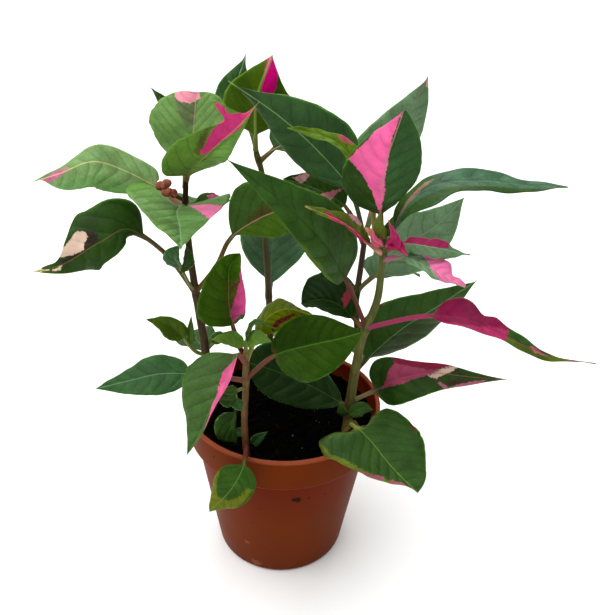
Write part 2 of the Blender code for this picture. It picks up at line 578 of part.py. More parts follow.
def outer_wall():
    """The pot's outer outline, from the lip down to the middle of the base."""
    step = POT_HEIGHT - COLLAR_HEIGHT
    quarter = [math.radians(a) for a in (0, 30, 60, 90)]
    lip_centre = (RIM_RADIUS - LIP_RADIUS, POT_HEIGHT - LIP_RADIUS)
    foot_centre = (BASE_RADIUS - BASE_FILLET, BASE_FILLET)
    lip = [(lip_centre[0] + LIP_RADIUS * math.cos(a), lip_centre[1] + LIP_RADIUS * math.sin(a))
           for a in reversed(quarter)]
    foot = [(foot_centre[0] + BASE_FILLET * math.cos(a), foot_centre[1] - BASE_FILLET * math.sin(a))
            for a in quarter]
    collar = [(COLLAR_FOOT_RADIUS, step + COLLAR_EDGE), (COLLAR_FOOT_RADIUS - COLLAR_CHAMFER, step),
              (BODY_TOP_RADIUS, step - COLLAR_CHAMFER)]
    return [*lip, *collar, *foot, (0, 0)]


def cut(target, cutter, name):
    cutter.name = name
    cutter.hide_render = True
    cutter.display_type = "WIRE"
    modifier = target.modifiers.new(name, "BOOLEAN")
    modifier.operation = "DIFFERENCE"
    modifier.solver = "EXACT"
    modifier.object = cutter


def make_pot():
    profile = [*outer_wall(), (0, FLOOR), *inner_wall()]
    made = bmesh.new()
    verts = [made.verts.new((r * MM, 0, z * MM)) for r, z in profile]
    pairs = zip(verts, verts[1:] + verts[:1])
    edges = [made.edges.new(pair) for pair in pairs if pair[0].co.x + pair[1].co.x > 0]
    bmesh.ops.spin(made, geom=verts + edges, axis=(0, 0, 1), cent=(0, 0, 0), steps=POT_SIDES,
                   angle=2 * math.pi, use_merge=True)
    bmesh.ops.remove_doubles(made, verts=made.verts, dist=0.01 * MM)
    bmesh.ops.recalc_face_normals(made, faces=made.faces)
    mesh = bpy.data.meshes.new("pot")
    made.to_mesh(mesh)
    made.free()
    mesh.materials.append(material("pot", TERRACOTTA, 0.45))
    mesh.shade_smooth()
    mesh.set_sharp_from_angle(angle=math.radians(35))
    pot = bpy.data.objects.new("pot", mesh)
    bpy.context.scene.collection.objects.link(pot)
    for k in range(DRAIN_HOLES):
        turn = 2 * math.pi * (k + 0.5) / DRAIN_HOLES
        place = Vector((DRAIN_CIRCLE * math.cos(turn), DRAIN_CIRCLE * math.sin(turn), FLOOR / 2)) * MM
        bpy.ops.mesh.primitive_cylinder_add(
            vertices=DRAIN_SIDES, radius=DRAIN_RADIUS * MM, depth=3 * FLOOR * MM, location=place)
        cut(pot, bpy.context.object, "drain_cutter_%d" % k)


def soil_height(x, y):
    mound = math.sin(0.21 * x + 0.9) * math.cos(0.17 * y) + 0.5 * math.sin(0.43 * x + 0.37 * y)
    return SOIL_TOP + SOIL_RELIEF * mound


def make_soil():
    walls = inner_wall()
    top_radius = np.interp(SOIL_TOP, [z for r, z in walls], [r for r, z in walls])
    outline = [(r, z) for r, z in walls if z < SOIL_TOP]
    turns = [2 * math.pi * i / POT_SIDES for i in range(POT_SIDES)]
    rings = []
    for r, z in outline:
        radius = r - CLEARANCE
        rings.append([np.array([radius * math.cos(a), radius * math.sin(a), z + CLEARANCE]) for a in turns])
    for k in range(SOIL_RINGS, 0, -1):
        radius = (top_radius - CLEARANCE) * k / SOIL_RINGS
        spots = [(radius * math.cos(a), radius * math.sin(a)) for a in turns]
        rings.append([np.array([x, y, soil_height(x, y)]) for x, y in spots])
    points, faces = skin(rings, np.array([0, 0, soil_height(0, 0)]))
    soil = add_object("soil", points, faces, SOIL_COLOUR, 0.95)
    holes = {name: stem_skin(spec, CLEARANCE) for name, spec in STEMS.items()}
    for name, spec in SEEDLINGS.items():
        holes[name] = stalk_skin(seedling_line(spec) - (0, 0, CLEARANCE), spec["stalk_radius"] + CLEARANCE)
    for name, hole in holes.items():
        cut(soil, add_object(name + "_cutter", *hole, SOIL_COLOUR, 0.95), name + "_cutter")


def fuse(name, pieces, colour, roughness):
    """Joins closed skins that cross each other into one body."""
    made = [add_object(name if i == 0 else name + "_part", *piece, colour, roughness)
            for i, piece in enumerate(pieces)]
    group = bpy.data.collections.new(name + "_parts")
    bpy.context.scene.collection.children.link(group)
    for part in made[1:]:
        bpy.context.scene.collection.objects.unlink(part)
        group.objects.link(part)
    join = made[0].modifiers.new("join", "BOOLEAN")
    join.operation = "UNION"
    join.solver = "EXACT"
    join.operand_type = "COLLECTION"
    join.collection = group
    bpy.context.view_layer.objects.active = made[0]
    bpy.ops.object.modifier_apply(modifier="join")
    for part in made[1:]:
        bpy.data.objects.remove(part)
    bpy.data.collections.remove(group)


def few(line):
    return line[np.linspace(0, len(line) - 1, STALK_RINGS).astype(int)]


def stalk_line(points, stem_name, level, radius):
    """A stalk's route, started just clear of its stem."""
    stem = STEMS[stem_name]
    axis = stem_line(stem)
    line = smooth_route([at_height(axis, level), *points], 200)[0]
    return few(line[start_of_petiole(line, axis, stem_radius(stem, level), radius):])


def seedling_line(spec):
    return few(smooth_route(spec["stalk"], 30)[0])


def stalk_skin(line, radius):
    return tube(line, [radius] * len(line), STALK_SIDES)


def small_leaf(spec):
    width = spec["half_width"]
    filled = {**spec, "half_width": (width, width), "fold": SMALL_FOLD, "wave": 0.0,
              "petiole": SMALL_PETIOLE}
    heel = np.array(spec["heel"], float)
    root = heel - SMALL_ROOT * unit(np.array(spec["rib"][0], float) - heel)
    return leaf_surface(filled, root, None, 0, SMALL_STATIONS, (1, 0, -1))


def make_sprig(name, spec):
    radius = spec["stalk_radius"]
    if "stem" in spec:
        line = stalk_line(spec["stalk"], spec["stem"], spec["level"], radius)
    else:
        line = seedling_line(spec)
    leaves = [small_leaf(leaf) for leaf in spec["leaves"]]
    fuse(name, [stalk_skin(line, radius), *leaves], spec["colour"], 0.45)


def ball(centre, radius):
    rings = []
    for i in range(1, BUD_RINGS):
        tilt = math.pi * i / BUD_RINGS
        rim, rise = radius * math.sin(tilt), -radius * math.cos(tilt)
        rings.append([centre + np.array([rim * math.cos(a), rim * math.sin(a), rise])
                      for a in [2 * math.pi * k / BUD_SIDES for k in range(BUD_SIDES)]])
    return skin(rings, centre + np.array([0, 0, radius]))


def make_bud_cluster():
    line = stalk_line(BUD_STALK, BUD_STEM, BUD_LEVEL, BUD_STALK_RADIUS)
    buds = [ball(np.array([x, y, z], float), radius) for x, y, z, radius in BUDS]
    fuse("bud_cluster", [stalk_skin(line, BUD_STALK_RADIUS), *buds], BUD_RED, 0.6)


for thing in list(bpy.data.objects):
    bpy.data.objects.remove(thing)
make_pot()
make_soil()
for stem_name, stem_spec in STEMS.items():
    make_stem(stem_name, stem_spec)
for leaf_name, leaf_spec in LEAVES.items():
    make_leaf(leaf_name, leaf_spec)
for sprig_name, sprig_spec in {**SPRIGS, **SEEDLINGS}.items():
    make_sprig(sprig_name, sprig_spec)
make_bud_cluster()
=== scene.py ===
import math
from functools import partial

import bpy
import bmesh
import numpy as np
from mathutils import Matrix, Vector, noise


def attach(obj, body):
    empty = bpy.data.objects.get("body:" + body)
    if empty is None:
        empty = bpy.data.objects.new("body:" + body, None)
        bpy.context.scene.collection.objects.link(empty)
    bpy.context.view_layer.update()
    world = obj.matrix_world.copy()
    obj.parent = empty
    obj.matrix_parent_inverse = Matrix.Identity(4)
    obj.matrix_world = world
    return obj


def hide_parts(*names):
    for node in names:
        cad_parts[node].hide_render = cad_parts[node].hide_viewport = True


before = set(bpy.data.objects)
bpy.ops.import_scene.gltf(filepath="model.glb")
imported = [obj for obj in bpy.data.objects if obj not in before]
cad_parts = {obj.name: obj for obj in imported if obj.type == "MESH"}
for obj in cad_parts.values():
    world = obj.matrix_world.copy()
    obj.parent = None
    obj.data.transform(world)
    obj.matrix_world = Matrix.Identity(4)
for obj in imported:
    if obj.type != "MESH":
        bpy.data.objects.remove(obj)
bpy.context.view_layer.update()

# Lengths are in millimetres here, and mm turns them into Blender's metres.
# x runs to the viewer's right, y away from the viewer and z up, from the middle of the pot's base.
mm = 0.001


# Small tools for meshes, curves and node trees

def hexColour(text):
    values = [int(text[i:i + 2], 16) / 255 for i in (1, 3, 5)]
    return tuple(v / 12.92 if v <= 0.04045 else ((v + 0.055) / 1.055) ** 2.4 for v in values)


def addNode(tree, kind, inputs=(), **settings):  # kind is Blender's name less its family, as in Math
    families = ("Geometry", "Shader", "Function", "") if tree.type == "GEOMETRY" else ("Shader",)
    kinds = [family + "Node" + kind for family in families]
    node = tree.nodes.new(next(name for name in kinds if hasattr(bpy.types, name)))
    for name, value in settings.items():
        setattr(node, name, value)
    for key, value in (inputs if isinstance(inputs, dict) else dict(enumerate(inputs))).items():
        if isinstance(value, bpy.types.Node):  # a node stands for its first output in use
            value = next(socket for socket in value.outputs if socket.enabled)
        if isinstance(value, bpy.types.NodeSocket):
            tree.links.new(value, node.inputs[key])
        else:
            node.inputs[key].default_value = value
    return node


def newMaterial(name, noises):  # an empty material and its noises, by width in mm and detail
    material = bpy.data.materials.new(name)
    material.use_nodes = True
    material.node_tree.nodes.clear()
    add = partial(addNode, material.node_tree)
    where = add("TexCoord").outputs["Object"]
    noises = [add("TexNoise", {"Vector": where, "Scale": 1 / (width * mm), "Detail": detail})
              for width, detail in noises]
    return material, add, where, noises


def unit(vector):
    return vector / np.linalg.norm(vector)


def smoothStep(low, high, value):
    u = np.clip((value - low) / (high - low), 0, 1)
    return u * u * (3 - 2 * u)


def smoothRoute(points, count):  # a smooth line through the points, and where the points are along it
    points = np.array(points, float)
    knots = np.concatenate([[0], np.cumsum(np.linalg.norm(np.diff(points, axis=0), axis=1))])
    slopes = np.gradient(points, knots, axis=0)
    where = np.linspace(0, knots[-1], count)
    i = np.clip(np.searchsorted(knots, where, side="right") - 1, 0, len(knots) - 2)
    span = (knots[i + 1] - knots[i])[:, None]
    u = (where - knots[i])[:, None] / span
    start = (2 * u ** 3 - 3 * u ** 2 + 1) * points[i] + (u ** 3 - 2 * u ** 2 + u) * span * slopes[i]
    end = (3 * u ** 2 - 2 * u ** 3) * points[i + 1] + (u ** 3 - u ** 2) * span * slopes[i + 1]
    return start + end, where, knots


def framesAlong(line, face, middle):  # directions up from and left of a line
    along = np.gradient(line, axis=0)
    along /= np.linalg.norm(along, axis=1)[:, None]
    up = np.zeros_like(line)
    up[middle] = unit(np.array(face, float) - along[middle] * np.dot(face, along[middle]))
    for step, last in ((1, len(line)), (-1, -1)):
        for i in range(middle + step, last, step):
            up[i] = unit(up[i - step] - along[i] * np.dot(up[i - step], along[i]))
    return up, np.cross(up, along)


def sampled(part, where, places):  # a sampled line's values at places along it
    return np.stack([np.interp(places, where, part[:, axis]) for axis in range(3)], axis=1)


def tubeFaces(rings, count):  # joins rings of points and closes both ends onto two last points
    faces = []
    for i in range(rings - 1):
        for k in range(count):
            a, b = i * count + k, i * count + (k + 1) % count
            faces.append((a, b, b + count, a + count))
    last, total = (rings - 1) * count, rings * count
    faces += [(total, (k + 1) % count, k) for k in range(count)]
    return faces + [(last + k, last + (k + 1) % count, total + 1) for k in range(count)]


def camelName(name):
    first, *others = name.split("_")
    return first + "".join(word.capitalize() for word in others)


def addObject(name, data):
    thing = bpy.data.objects.new(name, data)
    bpy.context.scene.collection.objects.link(thing)
    return thing


def setValues(mesh, values, triple):  # a number at every point, or three kept as triple says
    for key, value in values.items():
        value = np.array(value, np.float32)
        kind = triple if value.ndim == 2 else "FLOAT"
        if kind == "FLOAT_COLOR":
            value = np.hstack([value, np.ones((len(value), 1), np.float32)])
        field = {"FLOAT": "value", "FLOAT_VECTOR": "vector", "FLOAT_COLOR": "color"}[kind]
        mesh.attributes.new(key, kind, "POINT").data.foreach_set(field, value.ravel())


def plainPart(points, faces):
    return {"points": np.array(points), "faces": faces, "slots": [0] * len(faces), "values": {}}


def buildPiece(name, parts, materials):  # one mesh from parts of points, faces and values per point
    faces, slots, values, start = [], [], {}, 0
    for part in parts:
        faces += [tuple(start + i for i in face) for face in part["faces"]]
        slots += list(part["slots"])
        start += len(part["points"])
        for key, value in part["values"].items():
            values.setdefault(key, []).append(value)
    mesh = bpy.data.meshes.new(name)
    points = np.concatenate([part["points"] for part in parts])
    mesh.from_pydata((points * mm).tolist(), [], faces)
    for material in materials:
        mesh.materials.append(material)
    mesh.polygons.foreach_set("material_index", slots)
    setValues(mesh, {key: np.concatenate(groups) for key, groups in values.items()}, "FLOAT_COLOR")
    mesh.shade_smooth()
    return addObject(name, mesh)


def newTree(name, inputs):  # an empty node tree, the function that adds its nodes, and its named inputs
    tree = bpy.data.node_groups.new(name, "GeometryNodeTree")
    tree.interface.new_socket("Geometry", in_out="OUTPUT", socket_type="NodeSocketGeometry")
    for label, kind in {"Geometry": "Geometry", **inputs}.items():
        tree.interface.new_socket(label, in_out="INPUT", socket_type="NodeSocket" + kind)
    add = partial(addNode, tree)
    return tree, add, add("GroupInput").outputs


def endTree(add, geometry, material):
    whole = add("RealizeInstances", [geometry])
    smooth = add("SetShadeSmooth", {0: whole, 2: True})
    add("GroupOutput", [add("SetMaterial", {0: smooth, 2: material})])


def evaluatedMesh(piece):  # what the piece's modifiers make, as a plain mesh
    graph = bpy.context.evaluated_depsgraph_get()
    return bpy.data.meshes.new_from_object(piece.evaluated_get(graph), depsgraph=graph)


def grow(name, carrier, tree, settings):  # runs a tree on a carrier and keeps what it makes
    modifier = carrier.modifiers.new(name, "NODES")
    modifier.node_group = tree
    for item in tree.interface.items_tree:
        if item.in_out == "INPUT" and item.name in settings:
            modifier[item.identifier] = settings[item.name]
    mesh = evaluatedMesh(carrier)
    carrier.modifiers.remove(modifier)
    bpy.data.objects.remove(carrier)
    mesh.name = name
    return addObject(name, mesh)


def routeCarrier(name, line, values):  # points joined in a row, with values per point
    mesh = bpy.data.meshes.new(name)
    edges = [(i, i + 1) for i in range(len(line) - 1)]
    mesh.from_pydata((np.array(line) * mm).tolist(), edges, [])
    setValues(mesh, values, "FLOAT_VECTOR")
    return addObject(name, mesh)


def turnOutward(mesh):  # merges doubles and points every face of a closed shape outwards
    shape = bmesh.new()
    shape.from_mesh(mesh)
    bmesh.ops.remove_doubles(shape, verts=shape.verts, dist=0.01 * mm)
    bmesh.ops.recalc_face_normals(shape, faces=shape.faces)
    shape.to_mesh(mesh)
    shape.free()


def place(piece, node):  # every piece rides on the plant's only body
    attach(piece, "root")
    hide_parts(node)


# Stems

stemLooks = {
    "sides": 20, "ringEvery": 1.2, "ridges": 5, "ridgeDepth": 0.07,
    "rootLean": 0.85, "holeDepth": 24.0, "samples": 500,
    "nodeSwell": 0.35, "nodeReach": 3.0, "jointReach": 1.3,  # swelling and dark colour at the joints
    "dome": (35, 65, 84),  # angles of the rings that round the top
    "patterns": ((9, 2.0), (0.35, 1.0)), "streaks": (0.9, 3.0), "streakStretch": 0.08,
}
stems = {
    "stem_left": {
        "route": [(-40, 8, 82), (-42, 5, 123), (-45, 3, 155), (-47, 0, 187), (-47, -2, 207), (-46, -4, 217)],
        "radius": (2.7, 1.2), "nodes": (155, 204), "foot": "#4a3f20", "top": "#3a1f18"},
    "stem_front": {
        "route": [(-18, -33, 82), (-19, -33, 105), (-18, -33, 128), (-18, -33, 144)],
        "radius": (1.7, 1.5), "nodes": (130,), "foot": "#6b3f28", "top": "#6d5a34"},
    "stem_middle": {
        "route": [(-7, 19, 82), (-9, 20, 146), (-11, 22, 176), (-13, 24, 212), (-16, 25, 222)],
        "radius": (2.0, 1.3), "nodes": (146, 218), "foot": "#3a2216", "top": "#4f4a26"},
    "stem_back": {
        "route": [(39, 14, 82), (40, 15, 100), (40, 16, 118), (37, 15, 147), (38, 15, 165), (39, 14, 186)],
        "radius": (2.0, 1.4), "nodes": (152, 184), "foot": "#3d3a1c", "top": "#3a2b1a"},
    "stem_right": {
        "route": [(34, -12, 82), (35, -12, 101), (36, -13, 121), (38, -13, 139), (44, -15, 166),
                  (44, -17, 181), (44, -19, 194)],
        "radius": (2.7, 1.5), "nodes": (100, 147, 190), "foot": "#5c5429", "top": "#4e5628"},
}


def heightShare(spec, height):  # 0 at the stem's foot and 1 at its top
    low, high = spec["route"][0][2], spec["route"][-1][2]
    return np.clip((height - low) / (high - low), 0, 1)


def stemRadius(spec, height):
    foot, top = spec["radius"]
    radius = foot + (top - foot) * heightShare(spec, height)
    for node in spec["nodes"]:
        radius = radius + stemLooks["nodeSwell"] * np.exp(-((height - node) / stemLooks["nodeReach"]) ** 2)
    return radius


def stemLine(spec):
    x, y, z = spec["route"][0]
    lean = stemLooks["rootLean"]
    root = (x * lean, y * lean, z - stemLooks["holeDepth"])
    return smoothRoute([root, *spec["route"]], stemLooks["samples"])[0]


def atHeight(line, height):
    return np.array([np.interp(height, line[:, 2], line[:, axis]) for axis in range(3)])


def stemSkin():
    # Herbaceous stem, ribbed and a little hairy: satin brown-green, darker at its joints
    material, add, where, (clouds, hairs) = newMaterial("stemRibbedSkin", stemLooks["patterns"])
    lengthwise = add("Mapping", {"Vector": where, "Scale": (1, 1, stemLooks["streakStretch"])})
    width, detail = stemLooks["streaks"]
    streaks = add("TexNoise", {"Vector": lengthwise, "Scale": 1 / (width * mm), "Detail": detail})
    tint = add("Attribute", attribute_name="tint").outputs["Color"]
    joint = add("Attribute", attribute_name="joint").outputs["Fac"]
    both = add("Math", [streaks, clouds], operation="ADD")
    shade = add("MapRange", [both, 0.7, 1.3, 0.62, 1.42])
    jointShade = add("MapRange", [joint, 0.2, 1.0, 1.0, 0.55])
    depth = add("Math", [shade, jointShade], operation="MULTIPLY")
    colour = add("VectorMath", {0: tint, "Scale": depth}, operation="SCALE")
    ridged = add("Math", [hairs, 0.4, streaks], operation="MULTIPLY_ADD")
    bump = add("Bump", {"Strength": 0.5, "Distance": 0.12 * mm, "Height": ridged})
    roughness = add("MapRange", [streaks, 0.3, 0.7, 0.42, 0.62])
    skin = add("BsdfPrincipled", {
        "Base Color": colour, "Roughness": roughness, "IOR": 1.45, "Specular IOR Level": 0.15,
        "Normal": bump})
    add("OutputMaterial", {"Surface": skin})
    return material


def stemTree():  # sweeps a ribbed round section along the route, as thick as its girth says
    tree, add, given = newTree("stemAlongRoute", {
        "Sides": "Int", "Ridges": "Int", "Ridge Depth": "Float", "Skin": "Material"})
    route = add("MeshToCurve", [given["Geometry"]])
    circle = add("CurvePrimitiveCircle", {0: given["Sides"], 4: 1.0}, mode="RADIUS")
    index = add("InputIndex")
    share = add("Math", [index, given["Sides"]], operation="DIVIDE")
    section = add("StoreNamedAttribute", {0: circle, 2: "around", 3: share}, data_type="FLOAT",
                  domain="POINT")
    girth = add("InputNamedAttribute", ["girth"], data_type="FLOAT")
    swept = add("CurveToMesh", [route, section, girth, True])
    around = add("InputNamedAttribute", ["around"], data_type="FLOAT")
    turns = add("Math", [around, given["Ridges"]], operation="MULTIPLY")
    angle = add("Math", [turns, 2 * math.pi], operation="MULTIPLY")
    wave = add("Math", [angle], operation="COSINE")
    height = add("Math", [wave, given["Ridge Depth"]], operation="MULTIPLY")
    normal = add("InputNormal")
    offset = add("VectorMath", {0: normal, "Scale": height}, operation="SCALE")
    ribbed = add("SetPosition", {0: swept, 3: offset})
    endTree(add, ribbed, given["Skin"])
    return tree


def buildStem(name, spec, tree, material):
    line = stemLine(spec)
    heights = np.arange(line[0][2], line[-1][2], stemLooks["ringEvery"])
    centres = np.array([atHeight(line, z) for z in heights])
    girth = np.array([stemRadius(spec, z) for z in heights])
    end = unit(centres[-1] - centres[-2])
    dome = np.radians(stemLooks["dome"])
    centres = np.concatenate([centres, centres[-1] + girth[-1] * np.sin(dome)[:, None] * end])
    girth = np.concatenate([girth, girth[-1] * np.cos(dome)])
    share = heightShare(spec, centres[:, 2])[:, None]
    foot, top = np.array(hexColour(spec["foot"])), np.array(hexColour(spec["top"]))
    joint = sum(np.exp(-((centres[:, 2] - node) / stemLooks["jointReach"]) ** 2) for node in spec["nodes"])
    values = {"girth": girth * mm, "joint": joint, "tint": foot + share * (top - foot)}
    settings = {"Sides": stemLooks["sides"], "Ridges": stemLooks["ridges"],
                "Ridge Depth": stemLooks["ridgeDepth"] * mm, "Skin": material}
    piece = grow(camelName(name), routeCarrier(name + "Route", centres, values), tree, settings)
    turnOutward(piece.data)
    place(piece, name)


stemSweep = stemTree()
stemMaterial = stemSkin()
for stemName, stemSpec in stems.items():
    buildStem(stemName, stemSpec, stemSweep, stemMaterial)
print("stems grown:", len(stems))


# Leaves: the blade's outline and folds, its veins, and the blotches of pink on it

leafLooks = {
    "samples": 400, "rows": 58, "halfAcross": 13,
    "crowding": 1.35, "rowCrowding": (0.55, 0.45, 1.25),  # points crowd towards midrib, heel and tip
    "bladeThickness": 0.42, "thinning": 0.75, "petioleRadius": 1.15, "petioleSwell": 0.25, "swellReach": 3.0,
    "petioleEvery": 1.6, "rootDepth": 0.45,
    "neck": 4.0, "flattening": 0.06, "edgeWave": 0.8, "waveStarts": (0.15, 0.45), "unevenness": 0.012,
    "ribHeight": 0.55, "ribWidth": 0.6, "grooveDepth": 0.3, "grooveWidth": 0.75,
    "veinPairs": 7, "veinSweep": (0.62, 0.34), "veinStart": 0.3, "veinStagger": 0.25,
    "quilt": 0.6, "pucker": 0.6, "ruffle": 0.28, "ruffles": 5.3,
}
tones = {  # upper side, underside, midrib, margin
    "bright": ("#76995c", "#8a9c50", "#c4c088", "#93ae68"),
    "sage": ("#668b48", "#7c9448", "#86a878", "#86a468"),
    "frosted": ("#65855f", "#76904e", "#86a87c", "#80a070"),
    "fresh": ("#5c842f", "#6c801e", "#a0ac5a", "#7f9a40"),
    "grass": ("#3c5c26", "#56701c", "#6c8a44", "#5c7a34"),
    "deep": ("#375a2e", "#4d6a22", "#6c8e50", "#587a3c"),
    "moss": ("#2f4f1a", "#4a6218", "#5e7e38", "#50702c"),
    "dark": ("#26430f", "#405a12", "#4e6e2c", "#466424"),
    "teal": ("#4f7250", "#547438", "#7c9c6c", "#6c8c5c"),
    "slate": ("#2f5529", "#486a28", "#66905a", "#5a7e44"),
    # shade is a darker copy for leaves lying in shadow under others: painted shade
    "shade": ("#152f06", "#30480f", "#3a5820", "#34501a"),
    "olive": ("#58681f", "#66761c", "#8a8a40", "#7a8434"),
    "yellow": ("#505e04", "#5c6a04", "#8a9428", "#7e8a20"),
}


def bladeWidth(spec, t, side):  # breadth of a blade's half along its length
    base, tip = spec.get("powers", (0.6, 1.15))
    if side < 0:
        base, tip = spec.get("rightPowers", (base, tip))
    widest = base / (base + tip)
    share = (t / widest) ** base * ((1 - t) / (1 - widest)) ** tip
    for flareSide, middle, reach, extra in spec.get("flares", []):
        if flareSide == side:
            share = share + extra * np.exp(-((t - middle) / reach) ** 2)
    return spec["halfWidth"][0 if side > 0 else 1] * share


def halfSection(spec, t, side, shares):  # one half's curve from the midrib out to the margin
    width = np.maximum(bladeWidth(spec, t, side), spec["petioleRadius"] * (1 - t))[:, None]
    uneven = leafLooks["unevenness"] * np.sin(41 * t + spec["seed"]) * np.sin(23 * t)
    width = width * (1 + uneven)[:, None]
    half = 0 if side > 0 else 1
    angle = np.full((len(t), len(shares)), math.radians(spec["fold"][half]))
    angle += math.radians(spec["curl"][half]) * shares ** 2
    steps = width * np.diff(shares)
    mean = (angle[:, 1:] + angle[:, :-1]) / 2
    run, rise = [np.hstack([np.zeros((len(t), 1)), np.cumsum(part * steps, axis=1)])
                 for part in (np.cos(mean), np.sin(mean))]
    turns = 2 * math.pi * (2 * t + leafLooks["waveStarts"][half])
    rise += (spec["wave"] * np.sin(turns))[:, None] * shares ** 2
    ruffle = leafLooks["ruffle"] * np.sin(2 * math.pi * leafLooks["ruffles"] * t + spec["seed"] + side)
    rise += ruffle[:, None] * shares ** 4
    return run, rise, angle, width * shares, width * (1 - shares)


def polygonDepth(outline, along, across):  # how far inside a closed outline points are, in mm
    inside = np.zeros(along.shape, bool)
    nearest = np.full(along.shape, 1e9)
    for (x0, y0), (x1, y1) in zip(outline, outline[1:] + outline[:1]):
        dx, dy = x1 - x0, y1 - y0
        share = np.clip(((along - x0) * dx + (across - y0) * dy) / (dx * dx + dy * dy + 1e-9), 0, 1)
        nearest = np.minimum(nearest, np.hypot(along - x0 - share * dx, across - y0 - share * dy))
        crosses = (y0 > across) != (y1 > across)
        inside ^= crosses & (along < x0 + (across - y0) * dx / (dy or 1e-9))
    return np.where(inside, nearest, -nearest)


def blotchValues(blotches, t, s, length, widths):  # depth and colour of the blotch nearest each point
    depth = np.full(t.shape, -99.0)
    colour = np.zeros((*t.shape, 3))
    across = s * np.where(s > 0, widths[0], widths[1])
    for tint, *corners in blotches:  # corners are in hundredths of the length and of a half's width
        outline = [(a / 100 * length, b / 100 * widths[0 if b > 0 else 1]) for a, b in corners]
        found = polygonDepth(outline, t * length, across)
        nearer = found > depth
        depth = np.where(nearer, found, depth)
        colour[nearer] = hexColour(tint)
    return depth, colour


def leafPart(spec, root, rows, halfAcross):
    stalk, widths = spec.get("stalk", []), spec["halfWidth"]
    line, where, knots = smoothRoute([root, *stalk, *spec["route"]], leafLooks["samples"])
    heel, end = knots[1 + len(stalk)], knots[-1]
    length = end - heel
    up, left = framesAlong(line, spec["face"], int(np.argmin(abs(where - (heel + end) / 2))))
    begin = min(spec.get("inset", 0.0), heel / 2)
    neck = max(heel - leafLooks["neck"], (begin + heel) / 2)
    bare = np.linspace(begin, neck, max(2, int((neck - begin) / leafLooks["petioleEvery"]) + 1))
    u = np.linspace(0, 1, rows)
    atEnds, atHeel, power = leafLooks["rowCrowding"]
    t = atEnds * (1 - np.cos(math.pi * u)) / 2 + atHeel * u ** power
    t = 0.002 + t * 0.992
    places = np.concatenate([bare, heel + t * length])
    t = np.concatenate([np.zeros(len(bare)), t])
    onBlade = np.arange(len(t)) >= len(bare)
    centre, n, d = [sampled(part, where, places) for part in (line, up, left)]
    forward = np.cross(d, n)
    flat = smoothStep(neck, heel + leafLooks["flattening"] * length, places)
    turned = np.radians(spec.get("twist", 0.0)) * (t - 0.5)
    cos, sin = np.cos(turned)[:, None], np.sin(turned)[:, None]
    n, d = n * cos + d * sin, d * cos - n * sin

    # Round the section: the upper side from the left margin to the right one, then the underside back
    shares = np.linspace(0, 1, halfAcross + 1) ** leafLooks["crowding"]
    halves = {side: halfSection(spec, t, side, shares) for side in (1, -1)}
    order = [(1, j, 1) for j in range(halfAcross, 0, -1)] + [(-1, j, 1) for j in range(halfAcross)]
    order += [(-1, halfAcross, 0)] + [(side, j, -1) for side, j, face in reversed(order[1:])]
    count = len(order)
    points = np.zeros((len(t), count, 3))
    values = {key: np.zeros((len(t), count)) for key in ("across", "edge", "vein", "blade")}
    signed = np.zeros((len(t), count))
    swell = spec.get("swell", 0.0) * np.exp(-((places - begin) / leafLooks["swellReach"]) ** 2)
    radius = spec["petioleRadius"] * (1 + swell)
    for k, (side, j, face) in enumerate(order):
        run, rise, angle, out, inner = [part[:, j] for part in halves[side]]
        share = shares[j]
        normal = n * np.cos(angle)[:, None] - d * (side * np.sin(angle))[:, None]
        sweep = (leafLooks["veinSweep"][0] * out + leafLooks["veinSweep"][1] * out * share) / length
        stagger = leafLooks["veinStagger"] * side * min(1, 4 * share)
        phase = spec["veins"] * (t - sweep) + stagger + leafLooks["veinStart"]
        pucker = np.abs(np.sin(math.pi * phase)) ** leafLooks["pucker"] - 0.6
        envelope = math.sin(math.pi * min(1, 0.06 + share)) ** 0.8 * np.sin(math.pi * np.clip(t, 0, 1)) ** 0.5
        lift = spec["quilt"] * pucker * envelope
        thick = leafLooks["bladeThickness"] * (1 - leafLooks["thinning"] * share ** 4) / 2 * face
        groove = np.exp(-(out / leafLooks["grooveWidth"]) ** 2) * (1 - t) ** 0.6
        rib = np.exp(-(out / leafLooks["ribWidth"]) ** 2) * (1 - t) ** 0.8
        relief = -leafLooks["grooveDepth"] * groove if face > 0 else -leafLooks["ribHeight"] * rib
        back = spec.get("lobe", 0.0) * share ** 2 * (1 - t) ** 4 * np.clip(t / 0.01, 0, 1)
        blade = centre + d * (side * run)[:, None] + n * rise[:, None]
        blade += normal * (thick + relief + lift)[:, None] - forward * back[:, None]
        turn = math.radians((k + 0.5) * 360 / count)
        stalkRound = centre + radius[:, None] * (d * math.cos(turn) + n * math.sin(turn))
        points[:, k] = stalkRound + (blade - stalkRound) * flat[:, None]
        for key, value in zip(values, (out, inner * onBlade, phase, flat)):
            values[key][:, k] = value
        signed[:, k] = side * share

    lengthwise = np.repeat(t[:, None], count, axis=1)
    scaled = signed * np.where(signed > 0, *[bladeWidth(spec, t, side)[:, None] for side in (1, -1)])
    scaled = scaled / np.where(signed > 0, *widths)
    for key in ("blaze", "stain"):
        found = blotchValues(spec.get(key, []), lengthwise, scaled, length, widths)
        values[key], values[key + "Tint"] = found
    tints = {**dict(zip(("upper", "under", "midrib", "margin"), tones[spec["tone"]])), **spec}
    for key in ("upper", "under", "midrib", "margin", "petiole"):
        values[key + "Tint"] = np.broadcast_to(hexColour(tints[key]), (len(t), count, 3))

    around = [0 if k < 2 * halfAcross else 1 for k in range(count)]  # upper side and underside
    for key, value in values.items():
        flatValue = value.reshape(-1, *value.shape[2:])
        values[key] = np.concatenate([flatValue, flatValue[:1], flatValue[-1:]])
    return {"points": np.concatenate([points.reshape(-1, 3), [points[0].mean(axis=0), line[-1]]]),
            "faces": tubeFaces(len(t), count), "slots": around * (len(t) - 1) + [1] * count + around,
            "values": values}


